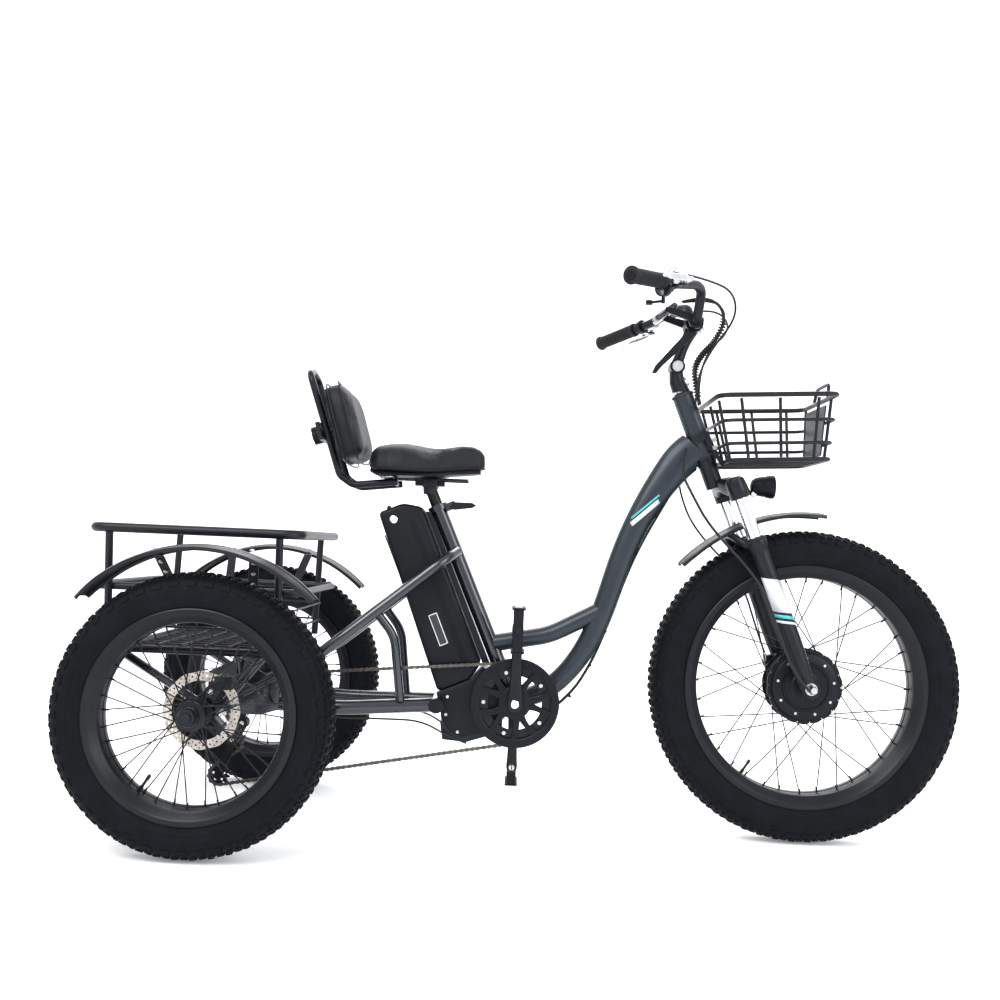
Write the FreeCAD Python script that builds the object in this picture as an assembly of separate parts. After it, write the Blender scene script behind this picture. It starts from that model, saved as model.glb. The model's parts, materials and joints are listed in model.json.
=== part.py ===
import FreeCAD, Part
import math
import os

# Electric fat-tyre cargo tricycle. Millimetres. X forward, Y to the rider's left, Z up.
# The origin is on the ground under the middle of the wheelbase, in the plane of the frame.

V = FreeCAD.Vector
YDIR = V(0, 1, 0)

# Wheels and ground plan
REAR_AXLE_X = -680.0
FRONT_AXLE_X = 610.0
REAR_TYRE_R = 282.0
FRONT_TYRE_R = 352.0
TRACK_HALF = 330.0
TYRE_WIDTH = 100.0
RIM_WIDTH = 80.0
SPOKE_R = 1.3
SPOKE_COUNT = 36
ROTOR_R = 80.0

# Steering axis: a point at the lower end of the head tube, and its lean from vertical
STEER_LEAN = math.radians(21.5)
STEER_BASE = V(372, 0, 862)
HEAD_LENGTH = 158.0
FORK_OFFSET = 28.0
AXLE_OFFSET = 35.0
AXLE_S = -561.7
LEG_Y = 82.0
STANCHION_R = 16.0
LOWER_R = 21.5
FORK_TRAVEL = 50.0

# Drive train
BB = V(-44, 0, 291)
CRANK_LENGTH = 170.0
CHAIN_Y = -52.0
CHAINRING_TEETH = 44
COG_TEETH = 20
PULLEY_TEETH = 11
CHAIN_PITCH = 12.7
REAR_AXLE = V(REAR_AXLE_X, 0, REAR_TYRE_R)

# Seat tube and saddle
SEAT_BASE = V(-52, 0, 300)
SEAT_TOP = V(-242, 0, 728)
SEAT_TUBE_R = 17.5
POST_R = 13.6

# Cargo rack and front basket
RACK_X0 = -948.0
RACK_X1 = -510.0
RACK_HALF = 230.0
RACK_TOP = 645.0
RACK_MID = 522.0
RACK_LOW = 392.0
RACK_TUBE_R = 10.0

# Running clearance between a shaft and its bore
FIT = 0.05
# Overlap in cubic mm below which two welded neighbours are left as they are
SLIVER = 2.0


def steer(s, n, y=0.0):
    """Point s along the steering axis (up), n forward of it, at y."""
    ca = math.cos(STEER_LEAN)
    sa = math.sin(STEER_LEAN)
    return V(STEER_BASE.x - s * sa + n * ca, y, STEER_BASE.z + s * ca + n * sa)


STEER_UP = V(-math.sin(STEER_LEAN), 0, math.cos(STEER_LEAN))


def cyl(a, b, r):
    """Solid round bar from a to b."""
    return Part.makeCylinder(r, (b - a).Length, a, b - a)


def tube(a, b, ro, ri):
    """Hollow round tube from a to b."""
    d = b - a
    e = d * (1.0 / d.Length)
    return cyl(a, b, ro).cut(cyl(a - e, b + e, ri))


def ring(centre, y0, y1, ro, ri):
    """Ring about the Y direction, from y0 to y1."""
    outer = Part.makeCylinder(ro, y1 - y0, V(centre.x, y0, centre.z), YDIR)
    if ri <= 0:
        return outer
    return outer.cut(Part.makeCylinder(ri, y1 - y0 + 2, V(centre.x, y0 - 1, centre.z), YDIR))


def revolve_y(centre, outline):
    """Solid of revolution about Y from (radius, y) points."""
    pts = [V(centre.x, y, centre.z + r) for r, y in outline]
    face = Part.Face(Part.makePolygon(pts + [pts[0]]))
    return face.revolve(V(centre.x, 0, centre.z), YDIR, 360)


def block(x0, x1, y0, y1, z0, z1):
    return Part.makeBox(x1 - x0, y1 - y0, z1 - z0, V(x0, y0, z0))


def slab(points, y0, y1):
    """Plate with an outline of (x, z) points, from y0 to y1."""
    pts = [V(x, y0, z) for x, z in points]
    face = Part.Face(Part.makePolygon(pts + [pts[0]]))
    return face.extrude(V(0, y1 - y0, 0))


def bent_path(points, bend):
    """Wire of straight runs joined by tangent arcs of radius bend, as large as the runs allow."""
    edges = []
    last = points[0]
    for i in range(1, len(points) - 1):
        p = points[i]
        u = (points[i - 1] - p)
        w = (points[i + 1] - p)
        room = 0.45 * min(u.Length, w.Length)
        u.normalize()
        w.normalize()
        half = u.getAngle(w) / 2.0
        if half > math.pi / 2 - 0.004:
            continue
        reach = min(room, bend / math.tan(half))
        r = reach * math.tan(half)
        a = p + u * reach
        b = p + w * reach
        mid = u + w
        mid.normalize()
        m = p + mid * (r / math.sin(half) - r)
        edges.append(Part.LineSegment(last, a).toShape())
        edges.append(Part.Arc(a, m, b).toShape())
        last = b
    edges.append(Part.LineSegment(last, points[-1]).toShape())
    return Part.Wire(edges)


def bent(points, r, bend=40.0):
    """Round bar along a path of points with rounded corners."""
    path = bent_path(points, bend)
    d = points[1] - points[0]
    section = Part.Wire(Part.makeCircle(r, points[0], d))
    return path.makePipeShell([section], True, False)


def mirror_y(shape):
    return shape.mirror(V(0, 0, 0), YDIR)


def both(shape):
    """A piece and its mirror image on the other side."""
    return [shape, mirror_y(shape)]


def along(a, b, t):
    return a + (b - a) * t


def group(shapes):
    solids = []
    for s in shapes:
        solids.extend(s.Solids)
    return Part.makeCompound(solids)


def save(name, shapes):
    shape = group(shapes if isinstance(shapes, list) else [shapes])
    bad = [s for s in shape.Solids if not s.isValid()]
    print(name, len(shape.Solids), "solids", "INVALID" if bad else "", round(shape.Volume / 1000, 1))
    shape.exportStep("parts/" + name + ".step")


def head_tube():
    a = steer(0, 0)
    b = steer(HEAD_LENGTH, 0)
    return tube(a, b, 24, 18.5)


def oval(centre, direction, width, height):
    """Oval wire across a direction that lies in the XZ plane."""
    d = V(direction)
    d.normalize()
    side = V(-d.z, 0, d.x)
    if height >= width:
        e = Part.Ellipse(centre + side * (height / 2), centre + YDIR * (width / 2), centre)
    else:
        e = Part.Ellipse(centre + YDIR * (width / 2), centre + side * (height / 2), centre)
    return Part.Wire(e.toShape())


# Centre line of the swooping down tube, with its width (Y) and its depth
DOWN_TUBE = [
    (350, 884, 50, 88), (285, 815, 48, 74), (229, 722, 46, 60), (184, 612, 44, 54),
    (152, 508, 44, 52), (108, 408, 44, 49), (50, 335, 44, 46), (-26, 296, 44, 42),
]


def down_tube():
    wires = []
    pts = [V(x, 0, z) for x, z, w, h in DOWN_TUBE]
    for i, (x, z, w, h) in enumerate(DOWN_TUBE):
        before = pts[max(i - 1, 0)]
        after = pts[min(i + 1, len(pts) - 1)]
        wires.append(oval(pts[i], after - before, w, h))
    body = Part.makeLoft(wires, True, False)
    body = body.cut(cyl(steer(-8, 0), steer(HEAD_LENGTH + 8, 0), 24))
    body = body.cut(cyl(steer(-90, 0), steer(-0.3, 0), 29))
    body = body.cut(cyl(steer(-8, 26), steer(170, 26), 25))
    return max(body.cut(ring(BB, -50, 50, 24, 0)).Solids, key=lambda s: s.Volume)


def mid_tube(neighbours):
    body = bent([V(-98, 0, 417), V(30, 0, 441), V(150, 0, 505)], 20, 200)
    for n in neighbours:
        body = body.cut(n)
    return max(body.Solids, key=lambda s: s.Volume)


SEAT_DIR = (SEAT_TOP - SEAT_BASE).normalize()


def seat_point(dist):
    return SEAT_BASE + SEAT_DIR * dist


SEAT_LENGTH = (SEAT_TOP - SEAT_BASE).Length


def bottom_shell():
    return ring(BB, -36, 36, 24, 19)


def seat_tube():
    body = cyl(SEAT_BASE - SEAT_DIR * 20, SEAT_TOP, SEAT_TUBE_R)
    body = body.cut(cyl(seat_point(120), SEAT_TOP + SEAT_DIR, POST_R + FIT))
    body = body.cut(ring(BB, -50, 50, 24, 0))
    return max(body.Solids, key=lambda s: s.Volume)


def cross_tube():
    return cyl(V(-220, -61, 277), V(-220, 61, 277), 17)


STAY_Y = 96.0


def chain_stays():
    bodies = []
    for side in (-1, 1):
        stay = bent([V(-220, side * 42, 277), V(-430, side * 84, 268), V(-640, side * STAY_Y, 276)], 16, 300)
        bodies.append(stay.cut(cross_tube()))
    bridge = cross_tube()
    neck = slab([(-206, 262), (-206, 292), (-64, 304), (-64, 278)], -16, 16).cut(bridge)
    neck = neck.cut(ring(BB, -50, 50, 24, 0)).cut(cyl(SEAT_BASE - SEAT_DIR * 20, SEAT_TOP, SEAT_TUBE_R))
    neck = neck.cut(down_tube())
    return bodies + [bridge] + neck.Solids


def seat_stays():
    bodies = []
    for side in (-1, 1):
        top = V(-190, side * 14, 623)
        low = V(-470, side * 122, 392)
        stay = bent([top, V(-214, side * 66, 604), low, V(-640, side * 112, 296)], 12.5, 60)
        stay = stay.cut(cyl(seat_point(0), SEAT_TOP, SEAT_TUBE_R))
        stay = stay.cut(block(-700, -100, -11, 11, 500, 700))
        stay = max(stay.Solids, key=lambda s: s.Volume)
        brace = bent([V(-362, side * 84, 484), V(-318, side * 76, 430), V(-300, side * 66, 286)], 10, 90)
        brace = brace.cut(stay)
        for c in chain_stays():
            brace = brace.cut(c)
        bodies.append(stay)
        bodies.append(max(brace.Solids, key=lambda s: s.Volume))
    return bodies


AXLE_R = 10.0
HOUSING_R = 21.0
HOUSINGS = [(-246, -92), (-26, 246)]


def rear_carrier(neighbours):
    """Axle housing, its two side plates and the struts up to the rack."""
    bodies = []
    for y0, y1 in HOUSINGS:
        bodies.append(ring(REAR_AXLE, y0, y1, HOUSING_R, 17))
    for side in (-1, 1):
        y0, y1 = (-118, -108) if side < 0 else (108, 118)
        plate = slab([(-600, 250), (-560, 262), (-560, 318), (-650, 372), (-716, 340), (-716, 250)], y0, y1)
        plate = plate.cut(ring(REAR_AXLE, y0 - 1, y1 + 1, HOUSING_R, 0))
        plate = plate.cut(ring(V(-598, 0, 296), y0 - 1, y1 + 1, 9, 0))
        bodies.append(plate)
        y = side * 205
        for foot, top in ((-702, -890), (-658, -572)):
            strut = cyl(V(foot, y, REAR_TYRE_R), V(top, y, RACK_LOW), 9)
            strut = strut.cut(ring(REAR_AXLE, -250, 250, HOUSING_R, 0))
            bodies.append(strut)
        bodies[-1] = bodies[-1].cut(bodies[-2])
        upright = cyl(V(-650, side * 113, 340), V(-650, side * 150, RACK_LOW), 8)
        bodies.append(upright.cut(plate))
    out = []
    for b in bodies:
        for n in neighbours:
            b = b.cut(n)
        out.append(max(b.Solids, key=lambda s: s.Volume))
    return out


def loop_rail(x0, x1, half, z, r, corner):
    """Closed rectangular rail with rounded corners, split into bars and corner bends."""
    bars = []
    for side in (-1, 1):
        bars.append(cyl(V(x0 + corner, side * half, z), V(x1 - corner, side * half, z), r))
    for x in (x0, x1):
        bars.append(cyl(V(x, -half + corner, z), V(x, half - corner, z), r))
    for x, sx in ((x0, 1), (x1, -1)):
        for sy in (-1, 1):
            c = V(x + sx * corner, sy * (half - corner), z)
            arc_mid = V(c.x - sx * corner * math.sqrt(0.5), c.y + sy * corner * math.sqrt(0.5), z)
            arc = Part.Wire([Part.Arc(V(x, c.y, z), arc_mid, V(c.x, sy * half, z)).toShape()])
            profile = Part.Wire(Part.makeCircle(r, V(x, c.y, z), V(0, 1, 0)))
            bars.append(arc.makePipeShell([profile], True, False))
    return bars


def rear_rack():
    bars = loop_rail(RACK_X0, RACK_X1, RACK_HALF, RACK_TOP, RACK_TUBE_R, 35)
    bars += loop_rail(RACK_X0, RACK_X1, RACK_HALF - 24, RACK_MID, 8, 25)
    post = 8.0
    for x in (RACK_X0 + 40, RACK_X1 - 40):
        for side in (-1, 1):
            a = V(x, side * RACK_HALF, RACK_TOP - RACK_TUBE_R + 1)
            b = V(x, side * (RACK_HALF - 24), RACK_LOW + 8)
            upright = cyl(a, b, post)
            for bar in bars[:2] + bars[8:10]:
                upright = upright.cut(bar)
            bars.extend(upright.Solids)
    for x in (-890, -572):
        bars.append(cyl(V(x, -218, RACK_LOW), V(x, 218, RACK_LOW), 9))
    for side in (-1, 1):
        bars.append(cyl(V(-881, side * 206, RACK_LOW), V(-581, side * 206, RACK_LOW), 8))
    basket = []
    for i in range(9):
        y = -176 + i * 44
        basket.append(cyl(V(-881, y, RACK_LOW + 4), V(-581, y, RACK_LOW + 4), 2.5))
    for i in range(6):
        x = -856 + i * 50
        basket.append(cyl(V(x, -197, RACK_LOW + 9.5), V(x, 197, RACK_LOW + 9.5), 2.5))
    for z in (440, 480):
        basket += loop_rail(RACK_X0 + 24, RACK_X1 - 24, RACK_HALF - 32, z, 2.5, 25)
    return bars, basket


FENDER_R = 324.0
FENDER_Z = 296.0


def rear_fenders():
    bodies = []
    for side in (-1, 1):
        y0, y1 = (-372, -288) if side < 0 else (288, 372)
        centre = V(REAR_AXLE_X, 0, FENDER_Z)
        arc = ring(centre, y0, y1, FENDER_R, FENDER_R - 2.5)
        keep = slab([(REAR_AXLE_X, FENDER_Z), (-928, FENDER_Z + 232), (-928, 700), (-444, 700),
                     (-444, FENDER_Z + 224)], y0 - 1, y1 + 1)
        bodies.append(arc.common(keep))
        for x in (-790, -600):
            rise = math.sqrt(FENDER_R ** 2 - (x - REAR_AXLE_X) ** 2)
            z = FENDER_Z + rise - 3
            y_in = side * (RACK_HALF + RACK_TUBE_R + 0.1)
            y_out = side * 300
            tab = block(x - 14, x + 14, min(y_in, y_out), max(y_in, y_out), z - 8, z - 3)
            leg = block(x - 14, x + 14, min(y_in, y_in + side * 5), max(y_in, y_in + side * 5),
                        z - 3, RACK_TOP + 4)
            hole = Part.makeCylinder(4, 30, V(x, side * 262, z - 20), V(0, 0, 1))
            bodies.append(tab.cut(hole).cut(arc).fuse(leg).removeSplitter())
    return bodies


def tyre(centre, outer_r, rim_r, y):
    """Fat tyre: an open carcass that narrows to the beads on the rim."""
    half = TYRE_WIDTH / 2
    side = [(rim_r, 36), (rim_r + 16, 45), (rim_r + 38, half), (outer_r - 26, half), (outer_r - 9, half - 9),
            (outer_r - 2, half - 24), (outer_r, 8)]
    outline = [(r, y + w) for r, w in side] + [(r, y - w) for r, w in reversed(side)]
    inner = [(rim_r, y - 30), (rim_r + 22, y - 38), (outer_r - 30, y - 38), (outer_r - 14, y - 26),
             (outer_r - 14, y + 26), (outer_r - 30, y + 38), (rim_r + 22, y + 38), (rim_r, y + 30)]
    return revolve_y(centre, outline + inner)


def rim(centre, rim_r, y):
    """Fat rim: side flanges up to the tyre beads and a box well."""
    h = RIM_WIDTH / 2
    well = rim_r - 30
    outline = [(rim_r - 0.2, y - h + 1), (rim_r - 0.2, y - h + 5), (rim_r - 14, y - h + 8), (rim_r - 18, y),
               (rim_r - 14, y + h - 8), (rim_r - 0.2, y + h - 5), (rim_r - 0.2, y + h - 1),
               (rim_r - 12, y + h), (well + 2, y + 26), (well, y + 14), (well, y - 14), (well + 2, y - 26),
               (rim_r - 12, y - h)]
    return revolve_y(centre, outline)


def spokes(centre, flange_r, flange_y, rim_hole_r, y):
    """Straight spokes laced from two hub flanges to the rim."""
    bars = []
    for i in range(SPOKE_COUNT):
        side = 1 if i % 2 else -1
        lace = 1 if (i // 2) % 2 else -1
        a_rim = 2 * math.pi * i / SPOKE_COUNT
        a_hub = a_rim + lace * math.radians(38)
        a = V(centre.x + flange_r * math.sin(a_hub), y + side * flange_y + lace * 1.6,
              centre.z + flange_r * math.cos(a_hub))
        b = V(centre.x + rim_hole_r * math.sin(a_rim), y + side * 8 + lace * 1.5,
              centre.z + rim_hole_r * math.cos(a_rim))
        bars.append(cyl(a, b, SPOKE_R))
    return bars


def rotor(centre, y, hub_r):
    """Brake disc with vent slots."""
    disc = ring(centre, y - 0.9, y + 0.9, ROTOR_R, hub_r)
    for i in range(6):
        a = math.radians(60 * i + 20)
        p = V(centre.x + 50 * math.sin(a), 0, centre.z + 50 * math.cos(a))
        disc = disc.cut(ring(p, y - 2, y + 2, 13, 0))
    return disc


FRONT_AXLE = steer(AXLE_S, AXLE_OFFSET)
FRONT_RIM_R = 274.0
REAR_RIM_R = 212.0


def hub_motor():
    """Hub motor shell with raised ring, and the two spoke flanges."""
    outline = [(12, -38), (40, -38), (44, -34), (72, -33), (78, -28), (78, -24), (86, -24), (86, -19), (78, -19),
               (78, 19), (86, 19), (86, 24), (78, 24), (78, 28), (72, 33), (44, 34), (40, 44), (12, 44)]
    return revolve_y(FRONT_AXLE, outline)


def hub_axle():
    axle = ring(FRONT_AXLE, -98, 98, 7, 0)
    nuts = [ring(FRONT_AXLE, y0, y1, 12, 7) for y0, y1 in ((-92, -74.2), (74.2, 92))]
    return [axle] + nuts


def rear_hub(side):
    """Hub of a rear wheel; the right one is fixed to the axle, the left one turns on it."""
    bore = AXLE_R + (0 if side < 0 else FIT)
    outline = [(bore, 262), (20, 262), (20, 276), (30, 276), (30, 279), (18, 281), (18, 304), (30, 305), (30, 309),
               (17, 311), (17, 349), (30, 351), (30, 355), (20, 357), (20, 372), (bore, 372)]
    return revolve_y(REAR_AXLE, [(r, side * y) for r, y in outline])


def rear_axle():
    """Live axle through both housings, with the nuts on its ends."""
    shaft = ring(REAR_AXLE, -384, 384, AXLE_R, 0)
    nuts = []
    for side in (-1, 1):
        y0, y1 = (-380, -372.4) if side < 0 else (372.4, 380)
        nuts.append(ring(REAR_AXLE, y0, y1, 16, AXLE_R))
    return [shaft] + nuts


def axle_bearings():
    """Ring bearings between the axle and its housings."""
    out = []
    for y0, y1 in HOUSINGS:
        for a, b in ((y0 + 1, y0 + 13), (y1 - 13, y1 - 1)):
            out.append(ring(REAR_AXLE, a, b, 17, AXLE_R + FIT))
    return out


def toothed(centre, y0, y1, teeth, bore):
    """Sprocket blank: it stays inside the rollers of the chain."""
    r = CHAIN_PITCH / (2 * math.sin(math.pi / teeth)) - 4.6
    return ring(centre, y0, y1, r, bore)


def pitch_r(teeth):
    return CHAIN_PITCH / (2 * math.sin(math.pi / teeth))


GUIDE = V(-672, 0, 176)
TENSION = V(-700, 0, 102)


def cassette():
    bodies = []
    y = CHAIN_Y
    sizes = [28, 24, COG_TEETH, 18, 16, 14]
    for i, teeth in enumerate(sizes):
        yy = y + (2 - i) * 5
        r = pitch_r(teeth) - 4.6 if teeth == COG_TEETH else pitch_r(teeth) - 1.0
        r = min(r, pitch_r(COG_TEETH) - 4.6 if i >= 2 else r)
        bodies.append(ring(REAR_AXLE, yy - 1, yy + 1, r, 16))
    core = ring(REAR_AXLE, -76, -34, 16, AXLE_R + FIT)
    return bodies + [core]


def chainring():
    """Chainring with spider, and the guard disc outside it with cut-outs."""
    ring_part = toothed(BB, CHAIN_Y - 1.5, CHAIN_Y + 1.5, CHAINRING_TEETH, 62)
    y0 = CHAIN_Y - 9.5
    guard = ring(BB, y0, y0 + 4, 100, 13)
    for i in range(5):
        a = math.radians(72 * i + 18)
        big = V(BB.x + 62 * math.sin(a), 0, BB.z + 62 * math.cos(a))
        guard = guard.cut(ring(big, y0 - 1, y0 + 5, 17, 0))
        b = a + math.radians(36)
        small = V(BB.x + 66 * math.sin(b), 0, BB.z + 66 * math.cos(b))
        guard = guard.cut(ring(small, y0 - 1, y0 + 5, 7, 0))
    posts = []
    for i in range(5):
        a = math.radians(72 * i + 54)
        p = V(BB.x + 70 * math.sin(a), 0, BB.z + 70 * math.cos(a))
        posts.append(ring(p, y0 + 4, CHAIN_Y - 1.5, 5, 0))
    return [ring_part, guard] + posts


def crank_arms():
    """Spindle with its two arms, bolts included; the right arm points up."""
    spindle = ring(BB, -82, 82, 8.5, 0)
    arms = []
    for side in (-1, 1):
        y0, y1 = (-80, -66) if side < 0 else (66, 80)
        up = 1 if side < 0 else -1
        end = V(BB.x, 0, BB.z + up * CRANK_LENGTH)
        arm = ring(BB, y0, y1, 19, 0).fuse(ring(end, y0, y1, 14, 0))
        arm = arm.fuse(slab([(BB.x - 15, BB.z), (BB.x + 15, BB.z), (BB.x + 12, end.z), (BB.x - 12, end.z)], y0, y1))
        arm = arm.cut(ring(BB, -100, 100, 8.5, 0)).cut(ring(end, -100, 100, 7 + FIT, 0))
        arms.append(arm.removeSplitter())
    boss = ring(BB, CHAIN_Y - 9.5, -40, 13, 8.5)
    collar = ring(BB, -66, CHAIN_Y - 9.5, 15, 8.5)
    left = ring(BB, 40, 66, 13, 8.5)
    return [spindle, boss, collar, left] + arms


def pedal(side):
    """Platform pedal: axle, barrel and cage with two side plates."""
    up = 1 if side < 0 else -1
    c = V(BB.x, 0, BB.z + up * CRANK_LENGTH)

    def span(a, b):
        return (side * b, side * a) if side < 0 else (a, b)

    axle = ring(c, *span(66, 84), 7, 0).fuse(ring(c, *span(84, 176), 6, 0))
    barrel = ring(c, *span(92, 180), 11, 6).fuse(ring(c, *span(176, 180), 11, 0))
    y0, y1 = span(94, 178)
    frame_part = block(c.x - 15, c.x + 15, y0, y1, c.z - 50, c.z + 50)
    for z0, z1 in ((c.z - 44, c.z - 14), (c.z + 14, c.z + 44)):
        a, b = span(100, 172)
        frame_part = frame_part.cut(block(c.x - 16, c.x + 16, a, b, z0, z1))
    frame_part = frame_part.cut(ring(c, *span(80, 190), 11, 0))
    return [axle, barrel, frame_part]


CHAIN_HALF = 3.2
CHAIN_DEPTH = 4.2


def chain():
    """Chain as short stretches of a band that follows the pitch line."""
    stops = [(BB, pitch_r(CHAINRING_TEETH), 1), (TENSION, pitch_r(PULLEY_TEETH), 1),
             (GUIDE, pitch_r(PULLEY_TEETH), -1), (REAR_AXLE, pitch_r(COG_TEETH), 1)]
    count = len(stops)
    angles = []
    for i in range(count):
        c1, r1, s1 = stops[i]
        c2, r2, s2 = stops[(i + 1) % count]
        dist = math.hypot(c2.x - c1.x, c2.z - c1.z)
        angles.append(math.atan2(c2.z - c1.z, c2.x - c1.x) - math.asin((s1 * r1 - s2 * r2) / dist))
    bodies = []
    for i in range(count):
        c1, r1, s1 = stops[i]
        c2, r2, s2 = stops[(i + 1) % count]
        t = angles[i]
        left = (-math.sin(t), math.cos(t))
        p = (c1.x + s1 * r1 * left[0], c1.z + s1 * r1 * left[1])
        q = (c2.x + s2 * r2 * left[0], c2.z + s2 * r2 * left[1])
        dx, dz = left[0] * CHAIN_DEPTH, left[1] * CHAIN_DEPTH
        outline = [(p[0] + dx, p[1] + dz), (q[0] + dx, q[1] + dz), (q[0] - dx, q[1] - dz), (p[0] - dx, p[1] - dz)]
        bodies.append(slab(outline, CHAIN_Y - CHAIN_HALF, CHAIN_Y + CHAIN_HALF))
        turn = (angles[i - 1] - t) * s1
        turn = turn % (2 * math.pi)
        steps = max(1, int(math.ceil(turn / math.radians(48))))
        for k in range(steps):
            band = ring(c1, CHAIN_Y - CHAIN_HALF, CHAIN_Y + CHAIN_HALF, r1 + CHAIN_DEPTH, r1 - CHAIN_DEPTH)
            a0 = angles[i - 1] + s1 * math.pi / 2 - s1 * turn * k / steps
            a1 = angles[i - 1] + s1 * math.pi / 2 - s1 * turn * (k + 1) / steps
            mid = (a0 + a1) / 2
            far = 2 * r1 + 20
            wedge = [(c1.x, c1.z), (c1.x + far * math.cos(a0), c1.z + far * math.sin(a0)),
                     (c1.x + far * math.cos(mid), c1.z + far * math.sin(mid)),
                     (c1.x + far * math.cos(a1), c1.z + far * math.sin(a1))]
            bodies.extend(band.common(slab(wedge, CHAIN_Y - 9, CHAIN_Y + 9)).Solids)
    return bodies


def pulley(centre):
    return ring(centre, CHAIN_Y - 1.2, CHAIN_Y + 1.2, pitch_r(PULLEY_TEETH) - 4.6, 4 + FIT)


def derailleur():
    """Derailleur: hanger, body and the cage plates with the two pulley pins."""
    out = CHAIN_Y - 7
    inn = CHAIN_Y + 5
    bodies = []
    for y0 in (out, inn):
        plate = slab([(GUIDE.x - 8, GUIDE.z + 6), (GUIDE.x + 9, GUIDE.z + 6), (TENSION.x + 10, TENSION.z - 8),
                      (TENSION.x - 9, TENSION.z - 8)], y0, y0 + 2)
        bodies.append(plate)
    for c in (GUIDE, TENSION):
        bodies.append(ring(c, out + 2, inn, 4, 0))
    body = slab([(-664, 186), (-640, 196), (-628, 224), (-642, 236), (-668, 206)], -100, out - 0.2)
    knuckle = ring(V(-640, 0, 226), -108, -80, 13, 0)
    hanger = slab([(-652, 232), (-628, 232), (-636, 262), (-660, 262)], -108, -100)
    return bodies + [body.fuse(knuckle).fuse(hanger).removeSplitter()]


def caliper(centre, angle, y, mount):
    """Disc caliper over the rotor's edge at an angle, with its bracket to the mount point."""
    r = ROTOR_R - 6
    c = V(centre.x + r * math.cos(angle), 0, centre.z + r * math.sin(angle))
    body = block(c.x - 18, c.x + 18, y - 16, y + 16, c.z - 13, c.z + 13)
    slot = ring(centre, y - 1.8, y + 1.8, ROTOR_R + 2, 0)
    arm = cyl(V(c.x, mount.y, c.z), mount, 6)
    return body.cut(slot), arm


def fork_crown():
    steerer = cyl(steer(-8, 0), steer(HEAD_LENGTH + 22, 0), 14.2)
    base = cyl(steer(-70, 0), steer(-8, 0), 21)
    shoulders = []
    for side in (-1, 1):
        shoulders.append(cyl(steer(-112, FORK_OFFSET, side * LEG_Y), steer(-66, FORK_OFFSET, side * LEG_Y), 22))
    beam = Part.makeBox(44, 2 * LEG_Y, 28, V(-22 + FORK_OFFSET * 0.6, -LEG_Y, -84))
    beam.rotate(V(0, 0, 0), YDIR, -math.degrees(STEER_LEAN))
    beam.translate(STEER_BASE)
    crown = base.fuse([beam] + shoulders).removeSplitter()
    for side in (-1, 1):
        crown = crown.cut(cyl(steer(-113, FORK_OFFSET, side * LEG_Y), steer(-72, FORK_OFFSET, side * LEG_Y),
                              STANCHION_R))
    return [steerer, crown.Solids[0]]


def stanchions():
    bodies = []
    for side in (-1, 1):
        bodies.append(cyl(steer(-380, FORK_OFFSET, side * LEG_Y), steer(-72, FORK_OFFSET, side * LEG_Y),
                          STANCHION_R))
    return bodies


def fork_lowers():
    """Lower legs with their dropouts, and the arch that joins them behind the tyre."""
    bodies = []
    for side in (-1, 1):
        top = steer(-209, FORK_OFFSET, side * LEG_Y)
        low = steer(-545, FORK_OFFSET, side * LEG_Y)
        leg = cyl(low, top, LOWER_R)
        leg = leg.fuse(cyl(steer(-226, FORK_OFFSET, side * LEG_Y), top, LOWER_R + 2.5))
        leg = leg.cut(cyl(steer(-440, FORK_OFFSET, side * LEG_Y), steer(-200, FORK_OFFSET, side * LEG_Y),
                          STANCHION_R + FIT))
        y0, y1 = (side * 66, side * 74) if side > 0 else (side * 74, side * 66)
        plate = slab([(steer(-520, 10).x, steer(-520, 10).z), (steer(-520, 46).x, steer(-520, 46).z),
                      (steer(-575, 56).x, steer(-575, 56).z), (steer(-580, 22).x, steer(-580, 22).z)], y0, y1)
        plate = plate.cut(ring(FRONT_AXLE, -99, 99, 7, 0))
        bodies.append(leg.cut(ring(FRONT_AXLE, -99, 99, 24, 0)).fuse(plate).removeSplitter())
    path = [steer(-214, 10, -LEG_Y), steer(-190, -8, -LEG_Y + 18), steer(-180, -14, 0),
            steer(-190, -8, LEG_Y - 18), steer(-214, 10, LEG_Y)]
    arch = bent(path, 9, 60)
    for b in bodies:
        arch = arch.cut(b)
    for side in (-1, 1):
        arch = arch.cut(cyl(steer(-400, FORK_OFFSET, side * LEG_Y), steer(-100, FORK_OFFSET, side * LEG_Y),
                            LOWER_R + 0.1))
    return bodies + [max(arch.Solids, key=lambda s: s.Volume)]


FRONT_FENDER_R = 396.0


def front_fender():
    """Front mudguard blade over the tyre with its tab to the arch and its stay."""
    centre = FRONT_AXLE
    arc = ring(centre, -48, 48, FRONT_FENDER_R, FRONT_FENDER_R - 2.5)
    a0 = math.radians(84)
    a1 = math.radians(138)
    mid = (a0 + a1) / 2
    far = 900
    wedge = [(centre.x, centre.z), (centre.x + far * math.cos(a0), centre.z + far * math.sin(a0)),
             (centre.x + far * math.cos(mid), centre.z + far * math.sin(mid)),
             (centre.x + far * math.cos(a1), centre.z + far * math.sin(a1))]
    blade = arc.common(slab(wedge, -50, 50))
    tab = cyl(steer(-176, -14, 0), steer(-168, -15, 0), 6)
    foot = steer(-262, FORK_OFFSET + LOWER_R + 3, LEG_Y)
    knee = steer(-205, FORK_OFFSET + LOWER_R + 12, LEG_Y - 10)
    end = steer(-163, FORK_OFFSET + 2, 49)
    stay = bent([foot, knee, end], 3, 20)
    return [blade, stay.cut(arc), tab.cut(arc)]

STEM_PIVOT = V(299, 0, 1071)
BAR_CLAMP = V(334, 0, 1172)
GRIP_IN = V(258, 200, 1215)
GRIP_OUT = V(150, 345, 1190)
BAR_R = 11.1
GRIP_DIR = (GRIP_OUT - GRIP_IN).normalize()


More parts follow.
